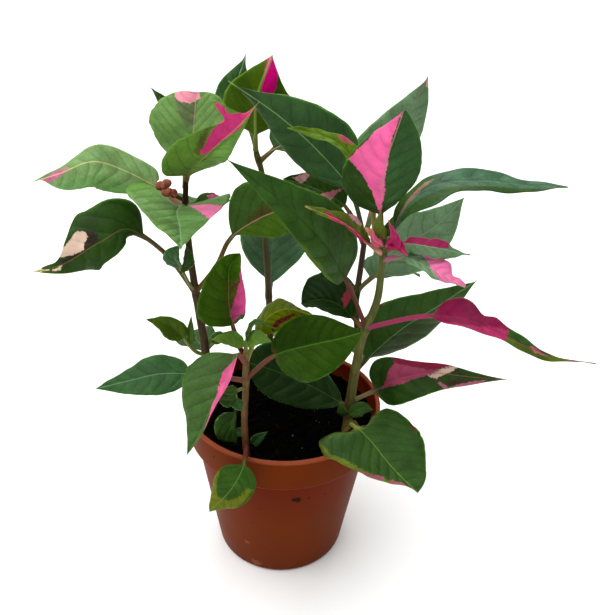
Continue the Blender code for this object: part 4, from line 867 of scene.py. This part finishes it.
def leafSkin(name, side, gleam):
    looks = skinLooks[side]
    material, add, where, (mottle, grain) = newMaterial(name, skinLooks["patterns"])
    value = {key: add("Attribute", attribute_name=key).outputs["Fac"]
             for key in ("across", "edge", "vein", "blade", "blaze", "stain")}
    tint = {key: add("Attribute", attribute_name=key + "Tint").outputs["Color"]
            for key in (side, "midrib", "margin", "petiole", "blaze", "stain")}
    cells = add("TexVoronoi", {"Vector": where, "Scale": 1 / (skinLooks["areas"] * mm)},
                feature="DISTANCE_TO_EDGE")

    # Green of the blade, in lighter and darker clouds
    clouds = add("MapRange", [mottle, 0.3, 0.7, 0.78, 1.18])
    netting = add("MapRange", [cells, 0.0, 0.16, 0.9, 1.03])
    shade = add("Math", [clouds, netting], operation="MULTIPLY")

    # Side veins, as a share of the way from one to the next
    turn = add("Math", [value["vein"], 0.5], operation="ADD")
    share = add("Math", [turn], operation="FRACT")
    off = add("Math", [share, 0.5], operation="SUBTRACT")
    apart = add("Math", [off], operation="ABSOLUTE")
    sideVein = add("MapRange", [apart, 0.01, 0.07, 1.0, 0.0], interpolation_type="SMOOTHSTEP")
    cushion = add("MapRange", [apart, 0.0, 0.34], interpolation_type="SMOOTHSTEP")
    inland = add("MapRange", [value["edge"], 0.5, 3.0])
    veins = add("Math", [sideVein, inland], operation="MULTIPLY")
    onBlade = add("Math", [veins, value["blade"]], operation="MULTIPLY")

    # The blade swells between its side veins; painted light and shade make it a little lighter on the
    # swellings and darker in the valleys by the veins
    cushions = add("Math", [cushion, inland], operation="MULTIPLY")
    uneven = add("MapRange", [mottle, 0.38, 0.62, 0.15, 1.0])
    swelling = add("Math", [cushions, uneven], operation="MULTIPLY")
    paintedCushionShading = add("MapRange", [swelling, 0.0, 1.0, 0.95, 1.04])
    mottleAndCushionShading = add("Math", [shade, paintedCushionShading], operation="MULTIPLY")
    green = add("VectorMath", {0: tint[side], "Scale": mottleAndCushionShading}, operation="SCALE")

    # Dull blotches under the bright ones, both with ragged edges
    both = add("Math", [mottle, grain], operation="ADD")
    ragged = add("Math", [both, 1.0], operation="SUBTRACT")
    stainDepth = add("Math", [ragged, 2.4, value["stain"]], operation="MULTIPLY_ADD")
    stainMask = add("MapRange", [stainDepth, -0.5, 0.5, 0.0, 0.9])
    stain = add("VectorMath", {0: tint["stain"], "Scale": mottleAndCushionShading}, operation="SCALE")
    stained = add("Mix", {0: stainMask, 6: green, 7: stain}, data_type="RGBA")
    blazeDepth = add("Math", [ragged, 2.0, value["blaze"]], operation="MULTIPLY_ADD")
    blazeMask = add("MapRange", [blazeDepth, -0.12, 0.12])
    blazeClouds = add("MapRange", [mottle, 0.3, 0.7, 0.8, 1.16])
    # The pink blotches share the same painted light and shade over the swellings
    blazeShade = add("Math", [blazeClouds, paintedCushionShading], operation="MULTIPLY")
    blaze = add("VectorMath", {0: tint["blaze"], "Scale": blazeShade}, operation="SCALE")
    blazed = add("Mix", {0: blazeMask, 6: stained, 7: blaze}, data_type="RGBA")

    # Side veins: sunken above, where painted shade darkens them, and raised and paler below in their own
    # colour; then the pale midrib and margin
    greenVeins = add("Math", [blazeMask, -0.6, 1.0], operation="MULTIPLY_ADD")
    veinShare = add("Math", [onBlade, greenVeins], operation="MULTIPLY")
    veinShadeAndTintScale = add("Math", [veinShare, looks["veinShadeAndTint"], 1.0], operation="MULTIPLY_ADD")
    veined = add("VectorMath", {0: blazed, "Scale": veinShadeAndTintScale}, operation="SCALE")
    ribShare = add("MapRange", [value["across"], *looks["ribWidth"], 0.7, 0.0])
    ribbed = add("Mix", {0: ribShare, 6: veined, 7: tint["midrib"]}, data_type="RGBA")
    rimShare = add("MapRange", [value["edge"], 0.04, 0.28, 0.3, 0.0])
    rimmed = add("Mix", {0: rimShare, 6: ribbed, 7: tint["margin"]}, data_type="RGBA")
    whole = add("Mix", {0: value["blade"], 6: tint["petiole"], 7: rimmed}, data_type="RGBA")

    # Relief and gloss
    puffed = add("MapRange", [cells, 0.0, 0.3, 0.0, 1.0])
    grained = add("Math", [grain, 0.5, puffed], operation="MULTIPLY_ADD")
    relief = add("Math", [onBlade, looks["veinRelief"], grained], operation="MULTIPLY_ADD")
    fine = add("Bump", {"Strength": 0.45, "Distance": 0.16 * mm, "Height": relief})
    bump = add("Bump", {"Strength": 0.5, "Distance": 0.5 * mm, "Height": swelling, "Normal": fine})
    roughness = add("MapRange", [grain, 0.3, 0.7, *looks["roughness"]])
    weight, radius, depth = skinLooks["subsurface"]
    skin = add("BsdfPrincipled", {
        "Base Color": whole, "Roughness": roughness, "IOR": skinLooks["ior"],
        "Specular IOR Level": skinLooks["specular"], "Specular Tint": (*gleam, 1.0), "Normal": bump,
        "Subsurface Weight": weight, "Subsurface Radius": radius, "Subsurface Scale": depth * mm})
    add("OutputMaterial", {"Surface": skin})
    return material


waxySkin = leafSkin("leafUpperWaxySkin", "upper", (1, 1, 1))  # soft sheen on green with pink blotches
youngSkin = leafSkin("leafUpperYoungSkin", "upper", (0.6, 0.8, 0.05))  # less wax: a yellowish sheen
mattSkin = leafSkin("leafUndersideMattSkin", "under", (1, 1, 1))  # matt and paler, with raised veins
print("leaf materials made")


def stemOf(spec):
    return stems["stem_" + spec["root"][0]]


def rootPoint(spec):
    return atHeight(stemLine(stemOf(spec)), spec["root"][1])


def skinsOf(spec):
    return [youngSkin if "young" in spec else waxySkin, mattSkin]


def buildLeaf(name, spec):
    filled = {
        "petioleRadius": leafLooks["petioleRadius"], "swell": leafLooks["petioleSwell"],
        "wave": leafLooks["edgeWave"], "quilt": leafLooks["quilt"], "veins": leafLooks["veinPairs"],
        "curl": (0, 0), "inset": leafLooks["rootDepth"] * stemRadius(stemOf(spec), spec["root"][1]),
        "seed": sum(ord(letter) for letter in name) % 17, **spec}
    part = leafPart(filled, rootPoint(spec), leafLooks["rows"], leafLooks["halfAcross"])
    place(buildPiece(camelName(name), [part], skinsOf(spec)), name)


for leafName, leafSpec in leaves.items():
    buildLeaf(leafName, leafSpec)
print("leaves built:", len(leaves))


# Sprigs and seedlings: a short stalk with small leaves

sproutLooks = {
    "rows": 18, "halfAcross": 5, "rootReach": 1.5, "sides": 12, "rings": 10, "taper": 0.85,
    "leaf": {"petioleRadius": 0.7, "fold": (14, 14), "curl": (0, 0), "wave": 0.15, "quilt": 0.15, "veins": 4},
}


def tubePart(line, radii, sides, tint):
    up, left = framesAlong(line, (0.3, -1, 0.1), len(line) // 2)
    turns = np.radians(np.arange(sides) * 360 / sides)
    rings = [centre + radius * (np.cos(turns)[:, None] * s + np.sin(turns)[:, None] * n)
             for centre, radius, n, s in zip(line, radii, up, left)]
    part = plainPart(np.concatenate([*rings, line[:1], line[-1:]]), tubeFaces(len(line), sides))
    far = {"across": 9.0, "edge": 0.0, "vein": 0.0, "blade": 0.0, "blaze": -99.0, "stain": -99.0}
    count = len(part["points"])
    part["values"] = {key: np.full(count, value) for key, value in far.items()}
    for key in ("blaze", "stain", "upper", "under", "midrib", "margin", "petiole"):
        part["values"][key + "Tint"] = np.broadcast_to(hexColour(tint), (count, 3))
    return part


def buildSprout(name, spec):
    points = [rootPoint(spec), *spec["stalk"]] if "root" in spec else spec["stalk"]
    line = smoothRoute(points, sproutLooks["rings"])[0]
    radii = np.linspace(1.0, sproutLooks["taper"], len(line)) * spec["stalkRadius"]
    parts = [tubePart(line, radii, sproutLooks["sides"], spec["tint"])]
    for i, leaf in enumerate(spec["leaves"]):
        heel, width = np.array(leaf["route"][0], float), leaf["halfWidth"]
        root = heel - sproutLooks["rootReach"] * unit(np.array(leaf["route"][1], float) - heel)
        filled = {**sproutLooks["leaf"], "petiole": spec["tint"], "midrib": tones[leaf["tone"]][1], "seed": i,
                  **leaf, "halfWidth": width if isinstance(width, tuple) else (width, width)}
        parts.append(leafPart(filled, root, sproutLooks["rows"], sproutLooks["halfAcross"]))
    place(buildPiece(camelName(name), parts, skinsOf(spec)), name)


for sproutName, sproutSpec in {**sprigs, **seedlings}.items():
    buildSprout(sproutName, sproutSpec)
print("sprigs and seedlings built")


# Pot: a profile with rounded corners, turned about the pot's middle

potLooks = {
    "height": 94, "sides": 144, "cornerSteps": 4, "floor": 2.5, "sharpFrom": 40,
    "outside": [(0, 0, 0), (35.8, 0, 3), (47.3, 73.8, 0.6), (49.8, 74.5, 0.6), (50.9, 76.0, 0.5),
                (52.5, 94, 1.1)],
    "inside": [(50.2, 94, 0.8), (49.0, 76.0, 2), (45.6, 73.5, 2), (34.4, 2.5, 2), (0, 2.5, 0)],
    "drainHoles": 6, "drainRadius": 3.5, "drainCircle": 24.0, "drainSides": 28,
    # inner: a redder tint, painted light for the glow through the thin wall; lip: a paler tint, a painted
    # highlight
    "plastic": "#632707", "inner": "#641002", "lip": "#8c452d", "lipHighlightFrom": (92.2, 93.2),
    "betweenWalls": (34.9, 50.9),  # radii at foot and lip that part the outer face from the inner one
    "patterns": ((26, 3.0), (0.5, 2.0), (1.6, 4.0)),
    "spots": {  # colour, cover and raggedness, then each spot's angle about the pot, height and size
        "smudge": ("#160400", 0.9, 1.3, [
            (-79.3, 63.4, 2.0), (-82.0, 63.9, 1.6), (-72.0, 63.4, 0.7), (-60.5, 62.6, 0.65),
            (-55.3, 64.2, 0.6), (-130.8, 85.9, 0.7), (-140.4, 65.7, 0.7), (-103.4, 55.1, 0.5),
            (-111.1, 41.1, 0.5), (20.0, 50.0, 0.8), (97.0, 60.0, 0.7), (160.0, 30.0, 0.8)]),
        "scuff": ("#a7664a", 0.35, 3.0, [
            (-117.7, 21.8, 1.4), (-111.4, 5.6, 2.6), (-30.0, 12.0, 1.8), (60.0, 8.0, 2.0),
            (170.0, 15.0, 1.6)]),
    },
}


def roundedProfile(corners, steps):  # a line through corners, each of which is rounded by a radius
    points = np.array([corner[:2] for corner in corners], float)
    line = [points[0]]
    for i in range(1, len(points) - 1):
        before, after = points[i - 1] - points[i], points[i + 1] - points[i]
        reach = min(corners[i][2], 0.48 * np.linalg.norm(before), 0.48 * np.linalg.norm(after))
        start, end = points[i] + unit(before) * reach, points[i] + unit(after) * reach
        for u in np.linspace(0, 1, steps + 1):
            line.append((1 - u) ** 2 * start + 2 * u * (1 - u) * points[i] + u ** 2 * end)
    return np.array([*line, points[-1]])


def potTree():  # turns the profile's points about the z axis
    tree, add, given = newTree("turnedProfile", {"Points": "Int", "Sides": "Int", "Plastic": "Material"})
    lastRing = add("Math", [given["Sides"], 1.0], operation="ADD")
    grid = add("MeshGrid", [1.0, 1.0, lastRing, given["Points"]])
    index = add("InputIndex")
    along = add("Math", [index, given["Points"]], operation="MODULO")
    quotient = add("Math", [index, given["Points"]], operation="DIVIDE")
    ring = add("Math", [quotient], operation="FLOOR")
    where = add("InputPosition")
    profile = add("SampleIndex", [given["Geometry"], where, along], data_type="FLOAT_VECTOR")
    split = add("SeparateXYZ", [profile]).outputs
    turn = add("Math", [ring, given["Sides"]], operation="DIVIDE")
    angle = add("Math", [turn, 2 * math.pi], operation="MULTIPLY")
    cos = add("Math", [angle], operation="COSINE")
    sin = add("Math", [angle], operation="SINE")
    x = add("Math", [split["X"], cos], operation="MULTIPLY")
    y = add("Math", [split["X"], sin], operation="MULTIPLY")
    spot = add("CombineXYZ", [x, y, split["Z"]])
    turned = add("SetPosition", {0: grid, 2: spot})
    merged = add("MergeByDistance", {0: turned, 2: 0.01 * mm})
    endTree(add, merged, given["Plastic"])
    return tree


def potPlastic():
    # Injection-moulded polypropylene, terracotta coloured: an even satin with fine moulding grain. Its inner
    # wall takes a redder tint, painted light for the glow through the thin plastic, and its lip a paler tint,
    # a painted highlight on the rim's upper face; with splashes of soil, small specks and pale scuffs near
    # its foot
    tint = {key: (*hexColour(potLooks[key]), 1) for key in ("plastic", "inner", "lip")}
    material, add, where, (clouds, grain, dust) = newMaterial("potMouldedPolypropylene", potLooks["patterns"])
    shade = add("MapRange", [clouds, 0.3, 0.7, 0.9, 1.1])
    level = add("SeparateXYZ", [where]).outputs["Z"]
    flat = add("VectorMath", [where, (1, 1, 0)], operation="MULTIPLY")
    out = add("VectorMath", [flat], operation="LENGTH").outputs["Value"]
    low, high = potLooks["betweenWalls"]
    outer = add("MapRange", [level, 0.0, potLooks["height"] * mm, low * mm, high * mm])
    within = add("Math", [outer, out], operation="SUBTRACT")
    # Painted light: the inner wall takes a redder tint for the glow of light through the thin plastic
    insideGlowShare = add("MapRange", [within, -0.3 * mm, 0.5 * mm])
    plastic = add("Mix", {0: insideGlowShare, 6: tint["plastic"], 7: tint["inner"]}, data_type="RGBA")
    # Painted highlight: the top of the rim takes a paler tint where it faces the light
    lipHighlightShare = add("MapRange", [level, *[height * mm for height in potLooks["lipHighlightFrom"]]])
    plastic = add("Mix", {0: lipHighlightShare, 6: plastic, 7: tint["lip"]}, data_type="RGBA")
    colour = add("VectorMath", {0: plastic, "Scale": shade}, operation="SCALE")
    wall = np.array([corner[:2] for corner in potLooks["outside"][1:]])
    for spotTint, cover, ragged, spots in potLooks["spots"].values():
        mask = None
        for angle, height, size in spots:
            radius = np.interp(height, wall[:, 1], wall[:, 0])
            spot = (radius * math.cos(math.radians(angle)) * mm, radius * math.sin(math.radians(angle)) * mm,
                    height * mm)
            away = add("VectorMath", [where, spot], operation="DISTANCE").outputs["Value"]
            edge = add("Math", [dust, -ragged * size * mm, away], operation="MULTIPLY_ADD")
            start = (1 - ragged / 2) * size * mm
            one = add("MapRange", [edge, start - 0.35 * mm, start + 0.1 * mm, cover, 0.0])
            mask = one if mask is None else add("Math", [mask, one], operation="MAXIMUM")
        colour = add("Mix", {0: mask, 6: colour, 7: (*hexColour(spotTint), 1)}, data_type="RGBA")
    bump = add("Bump", {"Strength": 0.25, "Distance": 0.06 * mm, "Height": grain})
    roughness = add("MapRange", [clouds, 0.3, 0.7, 0.44, 0.56])
    skin = add("BsdfPrincipled", {
        "Base Color": colour, "Roughness": roughness, "IOR": 1.49, "Specular IOR Level": 0.03,
        "Specular Tint": (1.0, 0.45, 0.18, 1.0), "Normal": bump,
        "Subsurface Weight": 0.15, "Subsurface Radius": (1.0, 0.3, 0.15), "Subsurface Scale": 1.2 * mm})
    add("OutputMaterial", {"Surface": skin})
    return material


def buildPot():
    outside = roundedProfile([*potLooks["outside"], potLooks["inside"][0]], potLooks["cornerSteps"])[:-1]
    inside = roundedProfile([potLooks["outside"][-1], *potLooks["inside"]], potLooks["cornerSteps"])[1:]
    line = np.insert(np.concatenate([outside, inside]), 1, 0, axis=1)
    settings = {"Points": len(line), "Sides": potLooks["sides"], "Plastic": potPlastic()}
    pot = grow("nurseryPot", routeCarrier("potProfile", line, {}), potTree(), settings)
    turnOutward(pot.data)
    drills = bmesh.new()
    for k in range(potLooks["drainHoles"]):
        turn = 2 * math.pi * (k + 0.5) / potLooks["drainHoles"]
        spot = Vector((math.cos(turn), math.sin(turn), 0)) * potLooks["drainCircle"] * mm
        bmesh.ops.create_cone(drills, cap_ends=True, segments=potLooks["drainSides"],
                              radius1=potLooks["drainRadius"] * mm, radius2=potLooks["drainRadius"] * mm,
                              depth=4 * potLooks["floor"] * mm, matrix=Matrix.Translation(spot))
    drillMesh = bpy.data.meshes.new("drills")
    drills.to_mesh(drillMesh)
    drills.free()
    drill = addObject("drills", drillMesh)
    cut = pot.modifiers.new("drain", "BOOLEAN")
    cut.operation, cut.solver, cut.object = "DIFFERENCE", "EXACT", drill
    mesh = evaluatedMesh(pot)
    pot.modifiers.remove(cut)
    bpy.data.objects.remove(drill)
    mesh.shade_smooth()
    mesh.set_sharp_from_angle(angle=math.radians(potLooks["sharpFrom"]))
    pot.data = mesh
    place(pot, "pot")


buildPot()
print("pot turned and drilled")


# Soil: a rough bed with crumbs, bark and white grains strewn on it

soilLooks = {
    "top": 82.0, "relief": 1.2, "clearance": 0.3, "sides": 120, "rings": 40, "sunken": 0.4,
    "lumps": 1.1, "lumpsPerMm": 0.35, "lumpDetail": 4, "peat": "#030202", "roughness": 0.6,
    "grainRoughness": 0.55, "grainLift": 0.1, "roughening": 0.9, "crumple": 1.1,
    "patterns": ((1.8, 5.0), (0.4, 2.0)),
    "grains": {  # count, least and most half sizes, seed, colour and fineness of each kind
        "soilCrumbs": (1500, (0.5, 0.45, 0.35), (1.5, 1.2, 0.9), 3, "#040302", 1),
        "barkChips": (130, (1.2, 0.6, 0.3), (3.6, 1.6, 0.7), 8, "#0a0603", 2),
        "perliteGrains": (26, (0.35, 0.35, 0.3), (0.8, 0.7, 0.6), 5, "#55534c", 1),
    },
}


def soilHeight(x, y):
    mound = math.sin(0.21 * x + 0.9) * math.cos(0.17 * y) + 0.5 * math.sin(0.43 * x + 0.37 * y)
    return soilLooks["top"] + soilLooks["relief"] * mound


def peatMaterial(name, tint, rough):
    # Damp peat, bark or perlite: nearly black crumbs with a few moist glints, or matt white grains
    material, add, where, (crumbs, fibres) = newMaterial(name, soilLooks["patterns"])
    shade = add("MapRange", [crumbs, 0.35, 0.7, 0.45, 1.5])
    colour = add("VectorMath", {0: hexColour(tint), "Scale": shade}, operation="SCALE")
    height = add("Math", [fibres, 0.4, crumbs], operation="MULTIPLY_ADD")
    bump = add("Bump", {"Strength": 0.7, "Distance": 0.5 * mm, "Height": height})
    roughness = add("MapRange", [fibres, 0.35, 0.6, rough, 0.95])
    skin = add("BsdfPrincipled", {
        "Base Color": colour, "Roughness": roughness, "IOR": 1.4, "Specular IOR Level": 0.02,
        "Normal": bump})
    add("OutputMaterial", {"Surface": skin})
    return material


def grainTree(detail):  # strews grains over a surface, turned and sized at random
    tree, add, given = newTree("strewnGrains", {
        "Density": "Float", "Seed": "Int", "Least": "Vector", "Most": "Vector", "Roughening": "Float",
        "Grain": "Material"})
    spots = add("DistributePointsOnFaces", {0: given["Geometry"], 4: given["Density"], 6: given["Seed"]})
    grain = add("MeshIcoSphere", [1.0, detail])
    turn = add("RandomValue", {0: (-0.5, -0.5, 0.0), 1: (0.5, 0.5, 6.28), 8: given["Seed"]},
               data_type="FLOAT_VECTOR")
    rotation = add("EulerToRotation", [turn])
    size = add("RandomValue", {0: given["Least"], 1: given["Most"], 8: given["Seed"]},
               data_type="FLOAT_VECTOR")
    strewn = add("InstanceOnPoints", {0: spots, 2: grain, 5: rotation, 6: size})
    real = add("RealizeInstances", [strewn])
    where = add("InputPosition")
    crumple = add("TexNoise", {"Vector": where, "Scale": 1 / (soilLooks["crumple"] * mm), "Detail": 1.0})
    centred = add("VectorMath", [crumple.outputs["Color"], (0.5, 0.5, 0.5)], operation="SUBTRACT")
    offset = add("VectorMath", {0: centred, "Scale": given["Roughening"]}, operation="SCALE")
    rough = add("SetPosition", {0: real, 3: offset})
    endTree(add, rough, given["Grain"])
    return tree


def buildSoil():
    wall = np.array([corner[:2] for corner in potLooks["inside"]])[::-1]
    clear = soilLooks["clearance"]
    turns = np.radians(np.arange(soilLooks["sides"]) * 360 / soilLooks["sides"])
    count = len(turns)
    topRadius = np.interp(soilLooks["top"], wall[:, 1], wall[:, 0]) - clear
    points = [((radius - clear) * math.cos(a), (radius - clear) * math.sin(a), height + clear)
              for radius, height in wall[1:-1] for a in turns]
    underTop = len(points)
    for k in range(soilLooks["rings"], 0, -1):
        radius = topRadius * k / soilLooks["rings"]
        for a in turns:
            x, y = radius * math.cos(a), radius * math.sin(a)
            spot = Vector((x, y, 0)) * soilLooks["lumpsPerMm"]
            rough = noise.fractal(spot, 1.0, 2.0, soilLooks["lumpDetail"])
            points.append((x, y, soilHeight(x, y) + soilLooks["lumps"] * rough - soilLooks["sunken"]))
    faces = tubeFaces(len(points) // count, count)
    points += [(0, 0, wall[0][1] + clear), (0, 0, soilHeight(0, 0) - soilLooks["sunken"])]
    bed = buildPiece("soilBed", [plainPart(points, faces)],
                     [peatMaterial("soilDampPeat", soilLooks["peat"], soilLooks["roughness"])])
    turnOutward(bed.data)
    place(bed, "soil")
    top = plainPart(np.array(points) + (0, 0, soilLooks["grainLift"]),
                    [face for face in faces if min(face) >= underTop])
    area = math.pi * (topRadius * mm) ** 2
    for name, (number, least, most, seed, tint, detail) in soilLooks["grains"].items():
        settings = {"Density": number / area, "Seed": seed, "Least": [v * mm for v in least],
                    "Most": [v * mm for v in most], "Roughening": soilLooks["roughening"] * mm,
                    "Grain": peatMaterial(name, tint, soilLooks["grainRoughness"])}
        place(grow(name, buildPiece(name + "Bed", [top], []), grainTree(detail), settings), "soil")


buildSoil()
print("soil laid")


# Flower buds: small cones of overlapping brown scales on one short stalk

budLooks = {
    "root": ("left", 206), "stalk": [(-50.5, -4.5, 209), (-53, -7, 213)], "stalkRadius": 0.9,
    "stalkRings": 10, "stalkSides": 12, "stalkRidges": 4, "ridgeDepth": 0.04, "stalkTint": "#5a4428",
    "buds": [(-57, -8, 215, 2.4), (-54, -10, 213, 2.6), (-51, -9, 212, 2.2), (-54, -7, 216, 2.3),
             (-55, -10, 216, 1.9)],
    "scales": 22, "scaleLength": 2.3, "scaleWidth": 1.5, "scaleThickness": 0.16, "cup": (0.45, 0.35),
    "core": "#6b3022", "scale": "#a86048",
    "scaleSizes": (0.75, 0.4), "seat": 0.72, "back": 0.9, "wrap": 0.78, "lean": 0.25, "coreShare": 0.82,
    "goldenTurn": 2.39996, "below": 2.5, "patterns": ((2.2, 3.0), (0.3, 2.0)),
}


def budSkin():
    # Papery bud scales: matt brown-red, mottled paler and darker, with a fine grain in relief
    material, add, where, (clouds, fibres) = newMaterial("budPaperyScales", budLooks["patterns"])
    share = add("MapRange", [clouds, 0.35, 0.65])
    core, scale = [(*hexColour(budLooks[key]), 1) for key in ("core", "scale")]
    colour = add("Mix", {0: share, 6: core, 7: scale}, data_type="RGBA")
    bump = add("Bump", {"Strength": 0.5, "Distance": 0.15 * mm, "Height": fibres})
    roughness = add("MapRange", [fibres, 0.3, 0.7, 0.55, 0.75])
    skin = add("BsdfPrincipled", {
        "Base Color": colour, "Roughness": roughness, "IOR": 1.45, "Specular IOR Level": 0.3,
        "Normal": bump})
    add("OutputMaterial", {"Surface": skin})
    return material


def scaleTree():  # puts one scale at every point, turned and sized by the point's values
    tree, add, given = newTree("budScales", {"Scale": "Object", "Skin": "Material"})
    shape = add("ObjectInfo", [given["Scale"]]).outputs["Geometry"]
    turn = add("InputNamedAttribute", ["turn"], data_type="FLOAT_VECTOR")
    size = add("InputNamedAttribute", ["size"], data_type="FLOAT")
    rotation = add("EulerToRotation", [turn])
    points = add("MeshToPoints", [given["Geometry"]])
    placed = add("InstanceOnPoints", {0: points, 2: shape, 5: rotation, 6: size})
    endTree(add, placed, given["Skin"])
    return tree


def scaleObject():  # a cupped, pointed scale that lies along x and faces z
    rows, half = 5, 2
    across = 2 * half + 1
    cupAlong, cupAcross = budLooks["cup"]
    points, faces = [], []
    for face in (0.5, -0.5):
        for i in range(rows):
            u = i / (rows - 1)
            width = budLooks["scaleWidth"] / 2 * (math.sin(math.pi * min(1, 0.22 + 0.78 * u)) + 0.04)
            for j in range(-half, half + 1):
                v = j / half
                cup = cupAlong * math.sin(math.pi * u * 0.9) - cupAcross * v * v * width
                thick = budLooks["scaleThickness"] * face * (1 - 0.8 * abs(v)) * (1 - 0.7 * u)
                points.append((u * budLooks["scaleLength"], v * width, cup + thick))
    for i in range(rows - 1):
        for j in range(across - 1):
            a = i * across + j
            b = a + rows * across
            faces += [(a, a + across, a + across + 1, a + 1), (b, b + 1, b + across + 1, b + across)]
    rim = [i * across for i in range(rows)] + [(rows - 1) * across + j for j in range(1, across)]
    rim += [i * across + across - 1 for i in range(rows - 2, -1, -1)] + list(range(across - 2, 0, -1))
    for a, b in zip(rim, rim[1:] + rim[:1]):
        faces.append((a, b, b + rows * across, a + rows * across))
    shape = buildPiece("budScale", [plainPart(points, faces)], [])
    turnOutward(shape.data)
    return shape


def buildBuds():
    line = smoothRoute([rootPoint(budLooks), *budLooks["stalk"]], budLooks["stalkRings"])[0]
    values = {"girth": np.full(len(line), budLooks["stalkRadius"] * mm), "joint": np.zeros(len(line)),
              "tint": np.tile(hexColour(budLooks["stalkTint"]), (len(line), 1))}
    settings = {"Sides": budLooks["stalkSides"], "Ridges": budLooks["stalkRidges"],
                "Ridge Depth": budLooks["ridgeDepth"] * mm, "Skin": stemMaterial}
    stalk = grow("budStalk", routeCarrier("budRoute", line, values), stemSweep, settings)
    turnOutward(stalk.data)
    place(stalk, "bud_cluster")
    spots, turns, sizes = [], [], []
    middle = np.mean([bud[:3] for bud in budLooks["buds"]], axis=0) - (0, 0, budLooks["below"])
    least, more = budLooks["scaleSizes"]
    cores = bmesh.new()
    for x, y, z, radius in budLooks["buds"]:
        aim = Vector(unit(np.array([x, y, z]) - middle))
        side = aim.orthogonal().normalized()
        for k in range(budLooks["scales"]):
            u = (k + 0.5) / budLooks["scales"]
            spin = Matrix.Rotation(k * budLooks["goldenTurn"], 3, aim)
            slope = math.pi * (1 - u) * budLooks["wrap"]
            outward = (spin @ side) * math.sin(slope) - aim * math.cos(slope)
            lengthwise = (aim - outward * aim.dot(outward)).normalized()
            lift = (outward + lengthwise * budLooks["lean"]).normalized()
            across = lift.cross(lengthwise).normalized()
            lengthwise = across.cross(lift)
            seat = outward * radius * budLooks["seat"] - lengthwise * budLooks["back"]
            spots.append(Vector((x, y, z)) + seat)
            turns.append(tuple(Matrix((lengthwise, across, lift)).transposed().to_euler()))
            sizes.append(least + more * math.sin(math.pi * u))
        bmesh.ops.create_icosphere(cores, subdivisions=3, radius=radius * budLooks["coreShare"] * mm,
                                   matrix=Matrix.Translation(Vector((x, y, z)) * mm))
    scale, skin = scaleObject(), budSkin()
    carrier = routeCarrier("budPoints", spots, {"turn": turns, "size": sizes})
    scales = grow("budScales", carrier, scaleTree(), {"Scale": scale, "Skin": skin})
    bpy.data.objects.remove(scale)
    place(scales, "bud_cluster")
    mesh = bpy.data.meshes.new("budCores")
    cores.to_mesh(mesh)
    cores.free()
    mesh.materials.append(skin)
    mesh.shade_smooth()
    place(addObject("budCores", mesh), "bud_cluster")


buildBuds()
print("buds made")


# Camera and stage, with the camera where the photograph was taken from

view = {"place": (0, -308, 321), "yaw": 0.036, "pitch": 0.506, "roll": 0.0393, "lens": 40.98, "sensor": 36,
        "clip": (0.01, 50)}


def buildCamera():
    yaw, pitch, roll = view["yaw"], view["pitch"], view["roll"]
    ahead = Vector((math.sin(yaw) * math.cos(pitch), math.cos(yaw) * math.cos(pitch), -math.sin(pitch)))
    side = ahead.cross(Vector((0, 0, 1))).normalized()
    over = side.cross(ahead)
    right = side * math.cos(roll) + over * math.sin(roll)
    top = over * math.cos(roll) - side * math.sin(roll)
    data = bpy.data.cameras.new("camera")
    data.lens, data.sensor_width = view["lens"], view["sensor"]
    data.clip_start, data.clip_end = view["clip"]
    camera = addObject("camera", data)
    camera.matrix_world = Matrix((right, top, -ahead)).transposed().to_4x4()
    camera.matrix_world.translation = Vector(view["place"]) * mm
    bpy.context.scene.camera = camera


stage = {  # distances in metres
    "floor": "#f6f6f5", "floorRoughness": 0.9, "size": 12.0, "world": 0.2,
    "sun": 3.8, "sunWidth": 100, "sunTurn": (4, -14, 0), "aim": (0, 0, 0.14),
    "softboxes": {  # place, width and power
        "key": ((-0.8, -0.3, 1.0), 0.8, 3),
        "back": ((0.1, 0.9, 0.9), 0.9, 5),
    },
}


def buildStage():
    material = bpy.data.materials.new("floorMattPaper")  # matt white paper: takes a soft shadow
    material.use_nodes = True
    shader = material.node_tree.nodes["Principled BSDF"]
    shader.inputs["Base Color"].default_value = (*hexColour(stage["floor"]), 1)
    shader.inputs["Roughness"].default_value = stage["floorRoughness"]
    mesh = bpy.data.meshes.new("floor")
    half = stage["size"] / 2
    mesh.from_pydata([(-half, -half, 0), (half, -half, 0), (half, half, 0), (-half, half, 0)], [],
                     [(0, 1, 2, 3)])
    mesh.materials.append(material)
    floor = addObject("floor", mesh)
    for name, (spot, width, power) in stage["softboxes"].items():
        data = bpy.data.lights.new(name, "AREA")
        data.shape, data.size, data.energy = "SQUARE", width, power
        lamp = addObject(name, data)
        lamp.location = spot
        lamp.rotation_euler = (Vector(stage["aim"]) - Vector(spot)).to_track_quat("-Z", "Y").to_euler()
    data = bpy.data.lights.new("overhead", "SUN")
    data.energy, data.angle = stage["sun"], math.radians(stage["sunWidth"])
    addObject("overhead", data).rotation_euler = [math.radians(turn) for turn in stage["sunTurn"]]
    bpy.context.scene.view_settings.view_transform = "Standard"
    world = bpy.data.worlds.new("softDaylight")
    world.use_nodes = True
    background = world.node_tree.nodes["Background"]
    background.inputs["Color"].default_value = (1, 1, 1, 1)
    background.inputs["Strength"].default_value = stage["world"]
    bpy.context.scene.world = world


buildCamera()
buildStage()
print("camera and stage made")
